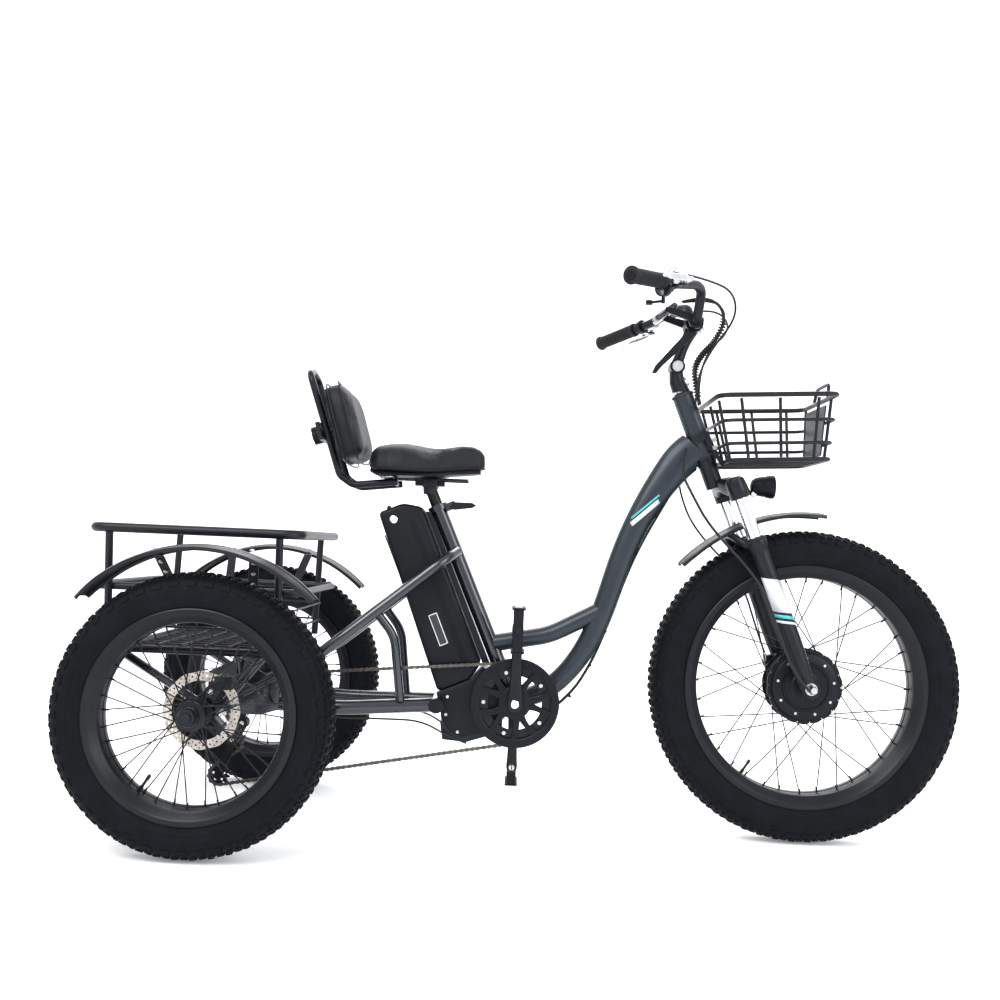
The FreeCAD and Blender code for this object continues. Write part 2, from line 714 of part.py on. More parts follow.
def stem_base():
    """Clamp on the steerer and the fork ears that hold the adjustable arm."""
    low = tube(steer(HEAD_LENGTH + 4, 0), steer(HEAD_LENGTH + 30, 0), 21, 14.2)
    neck = cyl(steer(HEAD_LENGTH + 30, 0), STEM_PIVOT - V(-1, 0, 6), 19)
    ears = ring(STEM_PIVOT, -19, 19, 15, 0)
    body = neck.fuse(ears).cut(ring(STEM_PIVOT, -10.2, 10.2, 21, 0)).cut(ring(STEM_PIVOT, -30, 30, 4 + FIT, 0))
    return [low] + body.Solids


def stem_arm():
    """Adjustable arm with its pivot bolt and the bar clamp."""
    knuckle = ring(STEM_PIVOT, -10, 10, 15, 0)
    arm = bent([STEM_PIVOT + V(4, 0, 6), V(316, 0, 1120), BAR_CLAMP - V(2, 0, 8)], 9.8, 120)
    clamp = ring(BAR_CLAMP, -24, 24, 21, 0)
    body = knuckle.fuse([arm, clamp]).removeSplitter()
    body = body.cut(ring(BAR_CLAMP, -40, 40, 14, 0)).cut(ring(STEM_PIVOT, -30, 30, 4, 0))
    bolt = ring(STEM_PIVOT, -19, 19, 4, 0)
    heads = [ring(STEM_PIVOT, a, b, 8, 0) for a, b in ((-22, -19.2), (19.2, 22))]
    return body.Solids + [bolt.fuse(heads).removeSplitter()]


def handlebar():
    """Riser bar swept back to the grips, thicker in the clamp."""
    bodies = [ring(BAR_CLAMP, -34, 34, 14, 0)]
    for side in (-1, 1):
        start = V(BAR_CLAMP.x, side * 34, BAR_CLAMP.z)
        pts = [start, V(334, side * 52, 1174), V(336, side * 88, 1232), V(318, side * 118, 1236),
               V(GRIP_IN.x, side * GRIP_IN.y, GRIP_IN.z), V(GRIP_OUT.x, side * GRIP_OUT.y, GRIP_OUT.z)]
        bodies.append(bent(pts, BAR_R, 60))
    return bodies


def grip_point(dist, side, lift=0.0, ahead=0.0):
    """Point dist outward along the grip, ahead of it and above it."""
    d = V(GRIP_DIR)
    front = V(d.y, -d.x, 0)
    front.normalize()
    p = GRIP_IN + d * dist + front * ahead + V(0, 0, lift)
    return V(p.x, side * p.y, p.z)


def grips():
    bodies = []
    for side in (-1, 1):
        body = tube(grip_point(52, side), grip_point(180, side), 16, BAR_R)
        flare = tube(grip_point(180, side), grip_point(184, side), 19, BAR_R)
        bodies.append(body.fuse(flare).removeSplitter())
    return bodies


def lever_clamps():
    """Brake lever perches and the shifter and display clamps on the bar."""
    bodies = []
    for side in (-1, 1):
        start = grip_point(22, side)
        end = grip_point(36, side)
        bodies.append(tube(start, end, 16.5, BAR_R))
        inside = cyl(start - (end - start) * 2, end + (end - start) * 2, 16.6)
        bodies.append(cyl(grip_point(29, side, -2, 8), grip_point(29, side, -2, 22.5), 6).cut(inside))
        for low, high in ((-12.6, -8), (3.3, 8)):
            ear = tube(grip_point(29, side, low, 36), grip_point(29, side, high, 36), 9, 2.5 + FIT)
            mid = (low + high) / 2
            link = cyl(grip_point(29, side, mid, 10), grip_point(29, side, mid, 27.4), 2.2).cut(inside)
            bodies.append(ear)
            bodies.append(link)
    pod = cyl(grip_point(38, -1, -14, -2), grip_point(50, -1, -14, -2), 18)
    pod = pod.fuse(tube(grip_point(38, -1), grip_point(50, -1), 15, BAR_R))
    pod = pod.cut(cyl(grip_point(0, -1), grip_point(80, -1), BAR_R))
    bodies.extend(pod.Solids)
    return bodies


def brake_lever(side):
    """Lever blade with its pivot pin, bent along the grip."""
    pin = cyl(grip_point(29, side, -13.1, 36), grip_point(29, side, 8.5, 36), 2.5)
    boss = cyl(grip_point(29, side, -6.9, 36), grip_point(29, side, 2.9, 36), 8)
    blade = bent([grip_point(31, side, -2, 38), grip_point(60, side, -2, 62), grip_point(120, side, -3, 58),
                  grip_point(164, side, -3, 66)], 4.5, 40)
    tip = Part.makeSphere(6.5, grip_point(165, side, -3, 66))
    return boss.fuse([pin, blade, tip]).removeSplitter()


def shifter():
    """Thumb lever under the right pod."""
    post = cyl(grip_point(44, -1, -33, -2), grip_point(44, -1, -46, -2), 4)
    paddle = cyl(grip_point(44, -1, -41, -2), grip_point(44, -1, -41, -36), 3)
    pad = cyl(grip_point(44, -1, -36.5, -36), grip_point(44, -1, -45.5, -36), 7)
    return post.fuse([paddle, pad])


def display():
    """Display unit on an arm over the stem clamp."""
    mid = V(268, 0, 1196)
    case = Part.makeBox(62, 66, 14, V(-31, -33, -7))
    case = case.makeFillet(5, [e for e in case.Edges if abs(e.BoundBox.ZLength) > 10])
    case.rotate(V(0, 0, 0), YDIR, -38)
    case.translate(mid)
    return case.fuse(ring(mid, -35.6, 35.6, 4, 0))


def display_clamp():
    bodies = []
    for side in (-1, 1):
        y0, y1 = (36, 44) if side > 0 else (-44, -36)
        collar = ring(BAR_CLAMP, y0, y1, 17, 0)
        arm = slab([(334, 1180), (322, 1190), (264, 1202), (261, 1191), (318, 1172)], y0, y1)
        bodies.append(collar.fuse(arm).removeSplitter())
    return bodies


def stem_lever():
    """Flat quick lever beside the stem clamp."""
    y0, y1 = -33.5, -28
    bodies = slab([(334, 1140), (316, 1150), (246, 1068), (238, 1050), (248, 1050), (262, 1068)], y0, y1)
    pin = ring(V(320, 0, 1140), y0, -24.4, 5, 0)
    return bodies.fuse(pin).removeSplitter()


def headlight():
    """Lamp with its bracket to the front of the crown."""
    c = V(505, 0, 802)
    shell = revolve_lamp(c)
    arm = bent([steer(-68, 36, 0), steer(-68, 66, 0), V(486, 0, 796)], 5, 20)
    return [shell, arm.cut(shell)]


def revolve_lamp(c):
    pts = [V(c.x - 26, 0, c.z), V(c.x - 26, 0, c.z + 14), V(c.x - 14, 0, c.z + 25), V(c.x + 20, 0, c.z + 27),
           V(c.x + 27, 0, c.z + 24), V(c.x + 27, 0, c.z)]
    face = Part.Face(Part.makePolygon(pts + [pts[0]]))
    return face.revolve(c, V(1, 0, 0), 360)


def seat_post():
    post = cyl(seat_point(170), SEAT_TOP + SEAT_DIR * 44, POST_R)
    head = block(-294, -226, -13, 13, 771, 783)
    return post.fuse(head).removeSplitter()


def seat_clamp():
    a = SEAT_TOP - SEAT_DIR * 14
    collar = tube(a, SEAT_TOP - SEAT_DIR * 1, 23, SEAT_TUBE_R)
    ears = block(-222, -198, -12, 12, 718, 736)
    ears.rotate(V(-210, 0, 727), YDIR, -24)
    ears = ears.cut(cyl(seat_point(0), SEAT_TOP + SEAT_DIR * 60, SEAT_TUBE_R + 0.1))
    ears = ears.cut(ring(V(-206, 0, 727), -20, 20, 3 + FIT, 0)).cut(block(-215, -150, -3, 3, 690, 760))
    return collar.fuse(ears).removeSplitter()


def seat_clamp_lever():
    pin = ring(V(-206, 0, 727), -21, 15, 3, 0)
    blade = slab([(-212, 722), (-200, 718), (-160, 724), (-150, 730), (-160, 736), (-204, 736)], -21, -14)
    return pin.fuse(blade).fuse(ring(V(-206, 0, 727), 12.4, 17, 7, 0)).removeSplitter()


def saddle():
    """Wide sprung saddle as a plain cushion."""
    wires = []
    rows = [(-398, 150, 800, 850), (-372, 215, 790, 866), (-320, 232, 788, 872), (-270, 190, 788, 862),
            (-225, 120, 788, 868), (-175, 78, 790, 866), (-140, 48, 800, 846), (-132, 26, 812, 838)]
    for x, w, z0, z1 in rows:
        c = V(x, 0, (z0 + z1) / 2)
        e = Part.Ellipse(c + V(0, w / 2, 0), c + V(0, 0, (z1 - z0) / 2), c)
        wires.append(Part.Wire(e.toShape()))
    return Part.makeLoft(wires, True, False)


def saddle_rails():
    bodies = []
    for side in (-1, 1):
        bodies.append(cyl(V(-372, side * 24, 786), V(-172, side * 24, 786), 3.5))
    plate = block(-294, -226, -30, 30, 783, 787)
    return [bodies[0], bodies[1], plate]


PAD_CENTRE = V(-460, 0, 893)
PAD_LEAN = math.radians(-17)


def backrest_tube():
    """Bent loop that carries the pad: up from the saddle, behind the pad and over the top."""
    path = [V(-330, -52, 776), V(-430, -52, 764), V(-462, -52, 785), V(-541, -50, 1014), V(-545, 0, 1026),
            V(-541, 50, 1014), V(-462, 52, 785), V(-430, 52, 764), V(-330, 52, 776)]
    cross = cyl(V(-340, -45, 774.6), V(-340, 45, 774.6), 5)
    return [bent(path, 8, 26), cross]


def lean_box(sx, sy, sz, radius, centre, lean):
    """Rounded box leaning about Y at a centre."""
    body = Part.makeBox(sx, sy, sz, V(-sx / 2, -sy / 2, -sz / 2))
    body = body.makeFillet(radius, body.Edges)
    body.rotate(V(0, 0, 0), YDIR, math.degrees(lean))
    body.translate(centre)
    return body


def backrest_pad():
    return lean_box(52, 250, 190, 20, PAD_CENTRE + V(4, 0, 12), PAD_LEAN)


def backrest_slide():
    """Cross bracket behind the pad that clamps the two uprights."""
    plate = lean_box(10, 128, 42, 2, PAD_CENTRE + V(-52, 0, -10), PAD_LEAN)
    d = V(math.cos(PAD_LEAN), 0, -math.sin(PAD_LEAN))
    a = PAD_CENTRE + V(-52, 0, -10) + d * 4
    return [plate, cyl(a, a + d * 30, 9).cut(plate)]


def backrest_knob():
    d = V(math.cos(PAD_LEAN), 0, -math.sin(PAD_LEAN))
    c = PAD_CENTRE + V(-52, 0, -10) - d * 5.2
    knob = cyl(c, c - d * 20, 21)
    for i in range(5):
        a = math.radians(72 * i)
        up = V(-d.z, 0, d.x)
        p = c + up * (24 * math.cos(a)) + YDIR * (24 * math.sin(a))
        knob = knob.cut(cyl(p - d * 22, p + d, 6))
    return knob


BATTERY = [(-372, 704), (-318, 728), (-274, 722), (-124, 372), (-146, 338), (-219, 306)]


def battery_case():
    """Battery case: a ribbed box that leans with the seat tube."""
    body = slab(BATTERY, -43, 43)
    long_edges = [e for e in body.Edges if abs(e.BoundBox.YLength) < 1 and e.Length > 300]
    body = body.makeFillet(9, long_edges)
    for i in range(4):
        t = 0.12 + 0.09 * i
        a = along(V(-274, 0, 722), V(-124, 0, 372), t)
        groove = Part.makeBox(5, 100, 3, V(-2.5, -50, -1.5))
        groove.translate(a)
        body = body.cut(groove)
    return body


def battery_dock():
    """Dock rail on the seat tube and the controller housing below the battery."""
    rail = slab([(-105, 372), (-121.4, 372), (-267, 712), (-254, 712)], -16, 16)
    rail = rail.cut(cyl(SEAT_BASE - SEAT_DIR * 20, SEAT_TOP, SEAT_TUBE_R))
    rail = max(rail.Solids, key=lambda s: s.Volume)
    box = slab([(-221, 304.5), (-204, 200), (-150, 196), (-70, 222), (-70, 300), (-92, 352), (-120, 366),
                (-145, 336.5)], -40, 40)
    for n in (cyl(SEAT_BASE - SEAT_DIR * 20, SEAT_TOP, SEAT_TUBE_R), ring(BB, -60, 60, 24.2, 0),
              block(-240, -182, -80, 80, 240, 296), block(-240, 0, -16.2, 16.2, 240, 306)):
        box = box.cut(n)
    return [rail] + box.Solids


def bottom_cups():
    return [ring(BB, -40, -26, 19, 8.5 + FIT), ring(BB, 26, 40, 19, 8.5 + FIT)]


def headset_cups():
    return [tube(steer(-7.6, 0), steer(10, 0), 18.5, 14.2 + FIT).fuse(tube(steer(-7.6, 0), steer(-0.2, 0), 25, 14.25)),
            tube(steer(HEAD_LENGTH - 10, 0), steer(HEAD_LENGTH + 3.6, 0), 18.5, 14.2 + FIT)]


BASKET_TILT = math.radians(3)
BASKET_DEPTH = 218.0


def basket_point(x, y, z):
    """Point in the front basket: x forward from its back, z up from its floor."""
    flare = z / 140.0
    px = 409 + x * (1 + 0.20 * flare) - 36 * flare
    return V(px, y * (1 + 0.27 * flare), 850 + z + (px - 390) * math.tan(BASKET_TILT))


def basket_loop(z, r):
    """Closed loop of tube around the basket at a height, with rounded corners."""
    c = 22.0
    x0, x1, h = 0.0, BASKET_DEPTH, 112.0
    edges = []
    corners = [(x0, -h), (x1, -h), (x1, h), (x0, h)]
    pts = []
    for i, (x, y) in enumerate(corners):
        px, py = corners[i - 1]
        nx, ny = corners[(i + 1) % 4]
        dp = math.hypot(px - x, py - y)
        dn = math.hypot(nx - x, ny - y)
        a = (x + (px - x) * c / dp, y + (py - y) * c / dp)
        b = (x + (nx - x) * c / dn, y + (ny - y) * c / dn)
        m = (x + (a[0] - x) * 0.293 + (b[0] - x) * 0.293, y + (a[1] - y) * 0.293 + (b[1] - y) * 0.293)
        pts.append((basket_point(a[0], a[1], z), basket_point(m[0], m[1], z), basket_point(b[0], b[1], z)))
    bars = []
    for i in range(4):
        a, m, b = pts[i]
        nxt = pts[(i + 1) % 4][0]
        bars.append(cyl(b, nxt, r))
        arc = Part.Wire([Part.Arc(a, m, b).toShape()])
        tangent = arc.Edges[0].tangentAt(arc.Edges[0].FirstParameter)
        bars.append(arc.makePipeShell([Part.Wire(Part.makeCircle(r, a, tangent))], True, False))
    return bars


def front_basket():
    """Wire basket: four loops, uprights, floor wires and the front plate with its handle loop."""
    bars = []
    for z, r in ((0, 5), (36, 4), (86, 4), (140, 5.5)):
        bars += basket_loop(z, r)
    for x in (40, 111, 182):
        for side in (-1, 1):
            bars.append(cyl(basket_point(x, side * 106.8, 6), basket_point(x, side * 107.2, 134), 3.6))
    for y in (-78, 0, 78):
        bars.append(cyl(basket_point(5, y, 6), basket_point(5, y, 134), 3.6))
    for y in (-78, 78):
        bars.append(cyl(basket_point(BASKET_DEPTH - 4.5, y, 6), basket_point(BASKET_DEPTH - 4.5, y, 134), 3.6))
    for i in range(5):
        y = -76 + 38 * i
        bars.append(cyl(basket_point(5.2, y, 0), basket_point(BASKET_DEPTH - 5.2, y, 0), 3))
    plate = Part.makePolygon([basket_point(BASKET_DEPTH - 9, y, z) for y, z in
                              ((-60, 12), (60, 12), (60, 124), (-60, 124), (-60, 12))])
    bars.append(Part.Face(plate).extrude(V(3, 0, -0.6)))
    loop = [basket_point(BASKET_DEPTH, -40, 146), basket_point(BASKET_DEPTH + 2, -34, 176),
            basket_point(BASKET_DEPTH + 2, 34, 176), basket_point(BASKET_DEPTH, 40, 146)]
    bars.append(bent(loop, 4, 16))
    return bars


def basket_bracket():
    """Flat carriers from the head tube to the basket's back and floor."""
    bodies = []
    for y0, y1 in ((-31, -27), (27, 31)):
        a = steer(36, 8)
        b = steer(60, 8)
        c = basket_point(0, 0, -6)
        d = basket_point(150, 0, -6)
        e = basket_point(150, 0, -9)
        outline = [(a.x, a.z), (b.x + 14, b.z), (c.x, c.z), (d.x, d.z), (e.x, e.z), (c.x - 6, c.z - 2)]
        bodies.append(slab(outline, y0, y1))
    band = tube(steer(38, 0), steer(58, 0), 27, 24)
    lugs = []
    for y0, y1 in ((-27, -20), (20, 27)):
        p = steer(48, 10)
        lugs.append(block(p.x - 9, p.x + 9, y0, y1, p.z - 9, p.z + 9))
    band = band.fuse(lugs).cut(cyl(steer(30, 0), steer(66, 0), 24)).removeSplitter()
    return bodies + band.Solids


def cable(points, r):
    """Round cable along a route, its arcs as large as the runs allow."""
    return bent(points, r, 400)


def bar_cables():
    """Cables from the bar down to the side of the head tube."""
    return [
        cable([grip_point(20, -1, 12, 38), V(330, -160, 1235), V(392, -96, 1226), V(404, -52, 1180),
               V(362, -36, 1110), V(340, -36, 1040), steer(120, 14, -30)], 2.5),
        cable([grip_point(20, 1, 12, 38), V(330, 160, 1235), V(398, 92, 1230), V(412, 30, 1172),
               V(366, -24, 1108), V(346, -29, 1040), steer(120, 22, -24)], 2.5),
        cable([V(300, -44, 1214), V(352, -58, 1222), V(388, -30, 1196), V(378, -12, 1140),
               V(340, -20, 1085), V(338, -22, 1040), steer(120, 27, -15)], 4),
    ]


def fork_cables():
    """Motor lead and brake cable from the head tube down the fork."""
    return [
        cable([V(322, 30, 880), V(322, 62, 830), V(334, 96, 780), V(372, 112, 700), steer(-300, 8, 108),
               steer(-430, 0, 104), steer(-480, -4, 84)], 2.5),
        cable([V(322, -30, 880), V(306, -56, 830), V(330, -96, 770), V(368, -112, 700), steer(-300, 4, -110),
               steer(-420, 2, -110), steer(-520, 4, -110), steer(-558, 24, -107)], 3),
    ]


def frame_cables():
    """Cables under the down tube and along the stays to the rear brakes and the derailleur."""
    bodies = []
    lower = [(310, 812), (268, 738), (224, 652), (190, 562), (160, 470), (128, 392), (84, 320), (30, 276)]
    for y in (-7, 7):
        bodies.append(cable([V(x - 3, y, z - 16) for x, z in lower], 2.5))
    for side in (-1, 1):
        y = side * 64
        route = [V(-150, side * 30, 192), V(-190, side * 44, 208), V(-250, y, 244), V(-330, side * 74, 246),
                 V(-430, side * 84, 246), V(-530, side * 94, 250), V(-588, side * 128, 286), V(-594, side * 190, 320),
                 V(-600, side * 250, 338)]
        bodies.append(cable(route, 2.2))
    return bodies


def rear_calipers():
    bodies = []
    for side in (-1, 1):
        body, arm = caliper(REAR_AXLE, math.radians(52), side * 280, V(-634, side * 214, 339))
        bodies.append(body)
        bodies.append(arm)
    return bodies


def front_caliper():
    body, arm = caliper(FRONT_AXLE, math.radians(140), 50, V(540, 70, 410))
    return [body, arm]


def trimmed(solids, neighbours):
    """Solids with every overlap with their neighbours taken off; the largest rest of each is kept."""
    out = []
    for s in solids:
        for n in neighbours:
            if not s.BoundBox.intersect(n.BoundBox):
                continue
            if s.common(n).Volume > SLIVER:
                s = s.cut(n)
                s = max(s.Solids, key=lambda piece: piece.Volume)
        out.append(s)
    return out


def flat(shapes):
    if not isinstance(shapes, list):
        shapes = [shapes]
    return [s for shape in shapes for s in shape.Solids]


def fit_body(nodes, keep=()):
    """Nodes of one rigid body in order: each is trimmed by all solids before it."""
    done = []
    out = {}
    for name, shapes in nodes:
        solids = []
        for s in flat(shapes):
            if name in keep:
                solids.append(s)
            else:
                solids.extend(trimmed([s], done + solids))
        out[name] = solids
        done = done + solids
    return out


def frame_body():
    dt = down_tube()
    st = seat_tube()
    return fit_body([
        ("seat_tube", [bottom_shell(), st, seat_clamp()]),
        ("head_tube", head_tube()),
        ("bearings", bottom_cups() + headset_cups() + axle_bearings()),
        ("down_tube", [dt, mid_tube([dt, st])]),
        ("chain_stays", chain_stays()),
        ("seat_stays", seat_stays()),
        ("battery_dock", battery_dock()),
        ("rear_rack", rear_rack()[0] + rear_rack()[1]),
        ("rear_carrier", rear_carrier([])),
        ("rear_fenders", rear_fenders()),
        ("front_basket", basket_bracket() + front_basket()),
        ("rear_calipers", rear_calipers()),
        ("derailleur", derailleur()),
        ("chain", chain()),
        ("frame_cables", frame_cables()),
    ])


def bars_body():
    return fit_body([
        ("stem_arm", stem_arm()),
        ("handlebar", handlebar()),
        ("grips", grips()),
        ("lever_clamps", lever_clamps() + display_clamp()),
        ("bar_cables", bar_cables()),
    ])


def wheel_nodes():
    nodes = {
        "front_tyre": tyre(FRONT_AXLE, FRONT_TYRE_R, FRONT_RIM_R, 0),
        "front_rim": rim(FRONT_AXLE, FRONT_RIM_R, 0),
        "front_spokes": spokes(FRONT_AXLE, 82, 21.5, FRONT_RIM_R - 30.2, 0),
        "hub_motor": [hub_motor(), rotor(FRONT_AXLE, 50, 30), ring(FRONT_AXLE, 44, 49, 34, 12)],
    }
    for side, name in ((-1, "right_"), (1, "left_")):
        y = side * TRACK_HALF
        nodes[name + "tyre"] = tyre(REAR_AXLE, REAR_TYRE_R, REAR_RIM_R, y)
        nodes[name + "rim"] = rim(REAR_AXLE, REAR_RIM_R, y)
        nodes[name + "spokes"] = spokes(REAR_AXLE, 27, 23, REAR_RIM_R - 30.2, y)
        nodes[name + "hub"] = [rear_hub(side), rotor(REAR_AXLE, side * 280, 30.1)]
    nodes["rear_axle"] = rear_axle()
    return nodes


def main():
    os.makedirs("parts", exist_ok=True)
    nodes = {}
    nodes.update(frame_body())
    nodes.update(fit_body([
        ("fork_upper", fork_crown() + stanchions()),
        ("stem_base", stem_base()),
        ("headlight", headlight()),
        ("fork_cables", fork_cables()),
    ]))
    nodes.update(bars_body())
    nodes.update(fit_body([
        ("fork_lowers", fork_lowers() + hub_axle()),
        ("front_fender", front_fender()),
        ("front_caliper", front_caliper()),
    ]))
    nodes.update(wheel_nodes())
    nodes.update(fit_body([("crank_arms", crank_arms()), ("chainring", chainring())]))
    nodes["cassette"] = cassette()
    nodes["guide_pulley"] = pulley(GUIDE)
    nodes["tension_pulley"] = pulley(TENSION)
    nodes["right_pedal"] = pedal(-1)
    nodes["left_pedal"] = pedal(1)
    nodes["display"] = display()
    nodes["shifter"] = shifter()
    nodes["left_brake_lever"] = brake_lever(1)
    nodes["right_brake_lever"] = brake_lever(-1)
    nodes["stem_lever"] = stem_lever()
    nodes.update(fit_body([
        ("seat_post", seat_post()),
        ("backrest_tube", backrest_tube() + saddle_rails()),
        ("saddle", saddle()),
    ]))
    nodes.update(fit_body([("backrest_slide", backrest_slide()), ("backrest_pad", backrest_pad())]))
    nodes["backrest_knob"] = backrest_knob()
    nodes["seat_clamp_lever"] = seat_clamp_lever()
    nodes["battery_case"] = battery_case()
    for name, shapes in nodes.items():
        save(name, shapes)
    print(len(nodes), "nodes")


main()
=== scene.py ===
import json
import math
import random

import bmesh
import bpy
from mathutils import Matrix, Vector


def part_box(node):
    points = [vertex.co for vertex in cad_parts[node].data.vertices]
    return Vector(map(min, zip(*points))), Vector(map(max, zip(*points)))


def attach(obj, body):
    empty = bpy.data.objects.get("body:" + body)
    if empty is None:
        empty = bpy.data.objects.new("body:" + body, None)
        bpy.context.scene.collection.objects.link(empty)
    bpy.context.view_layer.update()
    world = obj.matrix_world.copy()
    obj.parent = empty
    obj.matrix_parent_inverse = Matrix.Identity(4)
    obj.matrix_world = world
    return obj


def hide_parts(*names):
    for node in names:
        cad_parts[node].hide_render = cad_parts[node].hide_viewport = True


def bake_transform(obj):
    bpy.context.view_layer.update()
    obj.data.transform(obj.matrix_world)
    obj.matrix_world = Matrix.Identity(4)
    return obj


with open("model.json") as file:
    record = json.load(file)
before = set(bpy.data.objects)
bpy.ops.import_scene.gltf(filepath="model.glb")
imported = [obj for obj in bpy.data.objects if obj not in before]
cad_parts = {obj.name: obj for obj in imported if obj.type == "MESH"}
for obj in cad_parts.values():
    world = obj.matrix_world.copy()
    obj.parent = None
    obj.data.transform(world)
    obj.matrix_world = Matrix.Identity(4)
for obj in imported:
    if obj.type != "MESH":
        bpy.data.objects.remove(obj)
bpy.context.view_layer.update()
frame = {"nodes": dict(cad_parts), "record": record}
NODES = frame["nodes"]
JOINTS = {j["name"]: j for j in frame["record"]["behaviour"]["joints"]}
random.seed(7)
MM = 0.001


# ---------------------------------------------------------------- materials

def new_material(name):
    """Node material with its tree and shader."""
    mat = bpy.data.materials.new(name)
    mat.use_nodes = True
    tree = mat.node_tree
    shader = tree.nodes["Principled BSDF"]
    return mat, tree, shader


def mix_noise(tree, low, high, scale, detail=4.0, axis_scale=(1, 1, 1)):
    """Colour that wanders between two colours with noise of a real scale (per metre)."""
    coord = tree.nodes.new("ShaderNodeTexCoord")
    mapping = tree.nodes.new("ShaderNodeMapping")
    mapping.inputs["Scale"].default_value = axis_scale
    noise = tree.nodes.new("ShaderNodeTexNoise")
    noise.inputs["Scale"].default_value = scale
    noise.inputs["Detail"].default_value = detail
    ramp = tree.nodes.new("ShaderNodeValToRGB")
    ramp.color_ramp.elements[0].position = 0.35
    ramp.color_ramp.elements[1].position = 0.68
    ramp.color_ramp.elements[0].color = (*low, 1)
    ramp.color_ramp.elements[1].color = (*high, 1)
    tree.links.new(coord.outputs["Object"], mapping.inputs["Vector"])
    tree.links.new(mapping.outputs["Vector"], noise.inputs["Vector"])
    tree.links.new(noise.outputs["Fac"], ramp.inputs["Fac"])
    return ramp.outputs["Color"], mapping.outputs["Vector"]


def surface(name, colour, rough, metallic=0.0, spread=0.25, scale=40.0, rough_spread=0.08,
            bump=0.0, bump_scale=900.0, coat=0.0, cells=False, axis_scale=(1, 1, 1), shine=0.5):
    """General procedural surface: mottled colour, uneven gloss and a fine bump."""
    mat, tree, shader = new_material(name)
    low = [c * (1 - spread) for c in colour]
    high = [min(1.0, c * (1 + spread)) for c in colour]
    col, vec = mix_noise(tree, low, high, scale, axis_scale=axis_scale)
    tree.links.new(col, shader.inputs["Base Color"])
    span = tree.nodes.new("ShaderNodeMapRange")
    span.inputs["To Min"].default_value = max(0.03, rough - rough_spread)
    span.inputs["To Max"].default_value = min(1.0, rough + rough_spread)
    fine = tree.nodes.new("ShaderNodeTexNoise")
    fine.inputs["Scale"].default_value = scale * 6
    fine.inputs["Detail"].default_value = 5
    tree.links.new(vec, fine.inputs["Vector"])
    tree.links.new(fine.outputs["Fac"], span.inputs["Value"])
    tree.links.new(span.outputs["Result"], shader.inputs["Roughness"])
    shader.inputs["Metallic"].default_value = metallic
    shader.inputs["Specular IOR Level"].default_value = shine
    if coat:
        shader.inputs["Coat Weight"].default_value = coat
        shader.inputs["Coat Roughness"].default_value = 0.12
    if bump:
        grain = tree.nodes.new("ShaderNodeTexVoronoi" if cells else "ShaderNodeTexNoise")
        grain.inputs["Scale"].default_value = bump_scale
        node = tree.nodes.new("ShaderNodeBump")
        node.inputs["Strength"].default_value = bump
        node.inputs["Distance"].default_value = 0.0006
        tree.links.new(vec, grain.inputs["Vector"])
        tree.links.new(grain.outputs["Distance" if cells else "Fac"], node.inputs["Height"])
        tree.links.new(node.outputs["Normal"], shader.inputs["Normal"])
    return mat


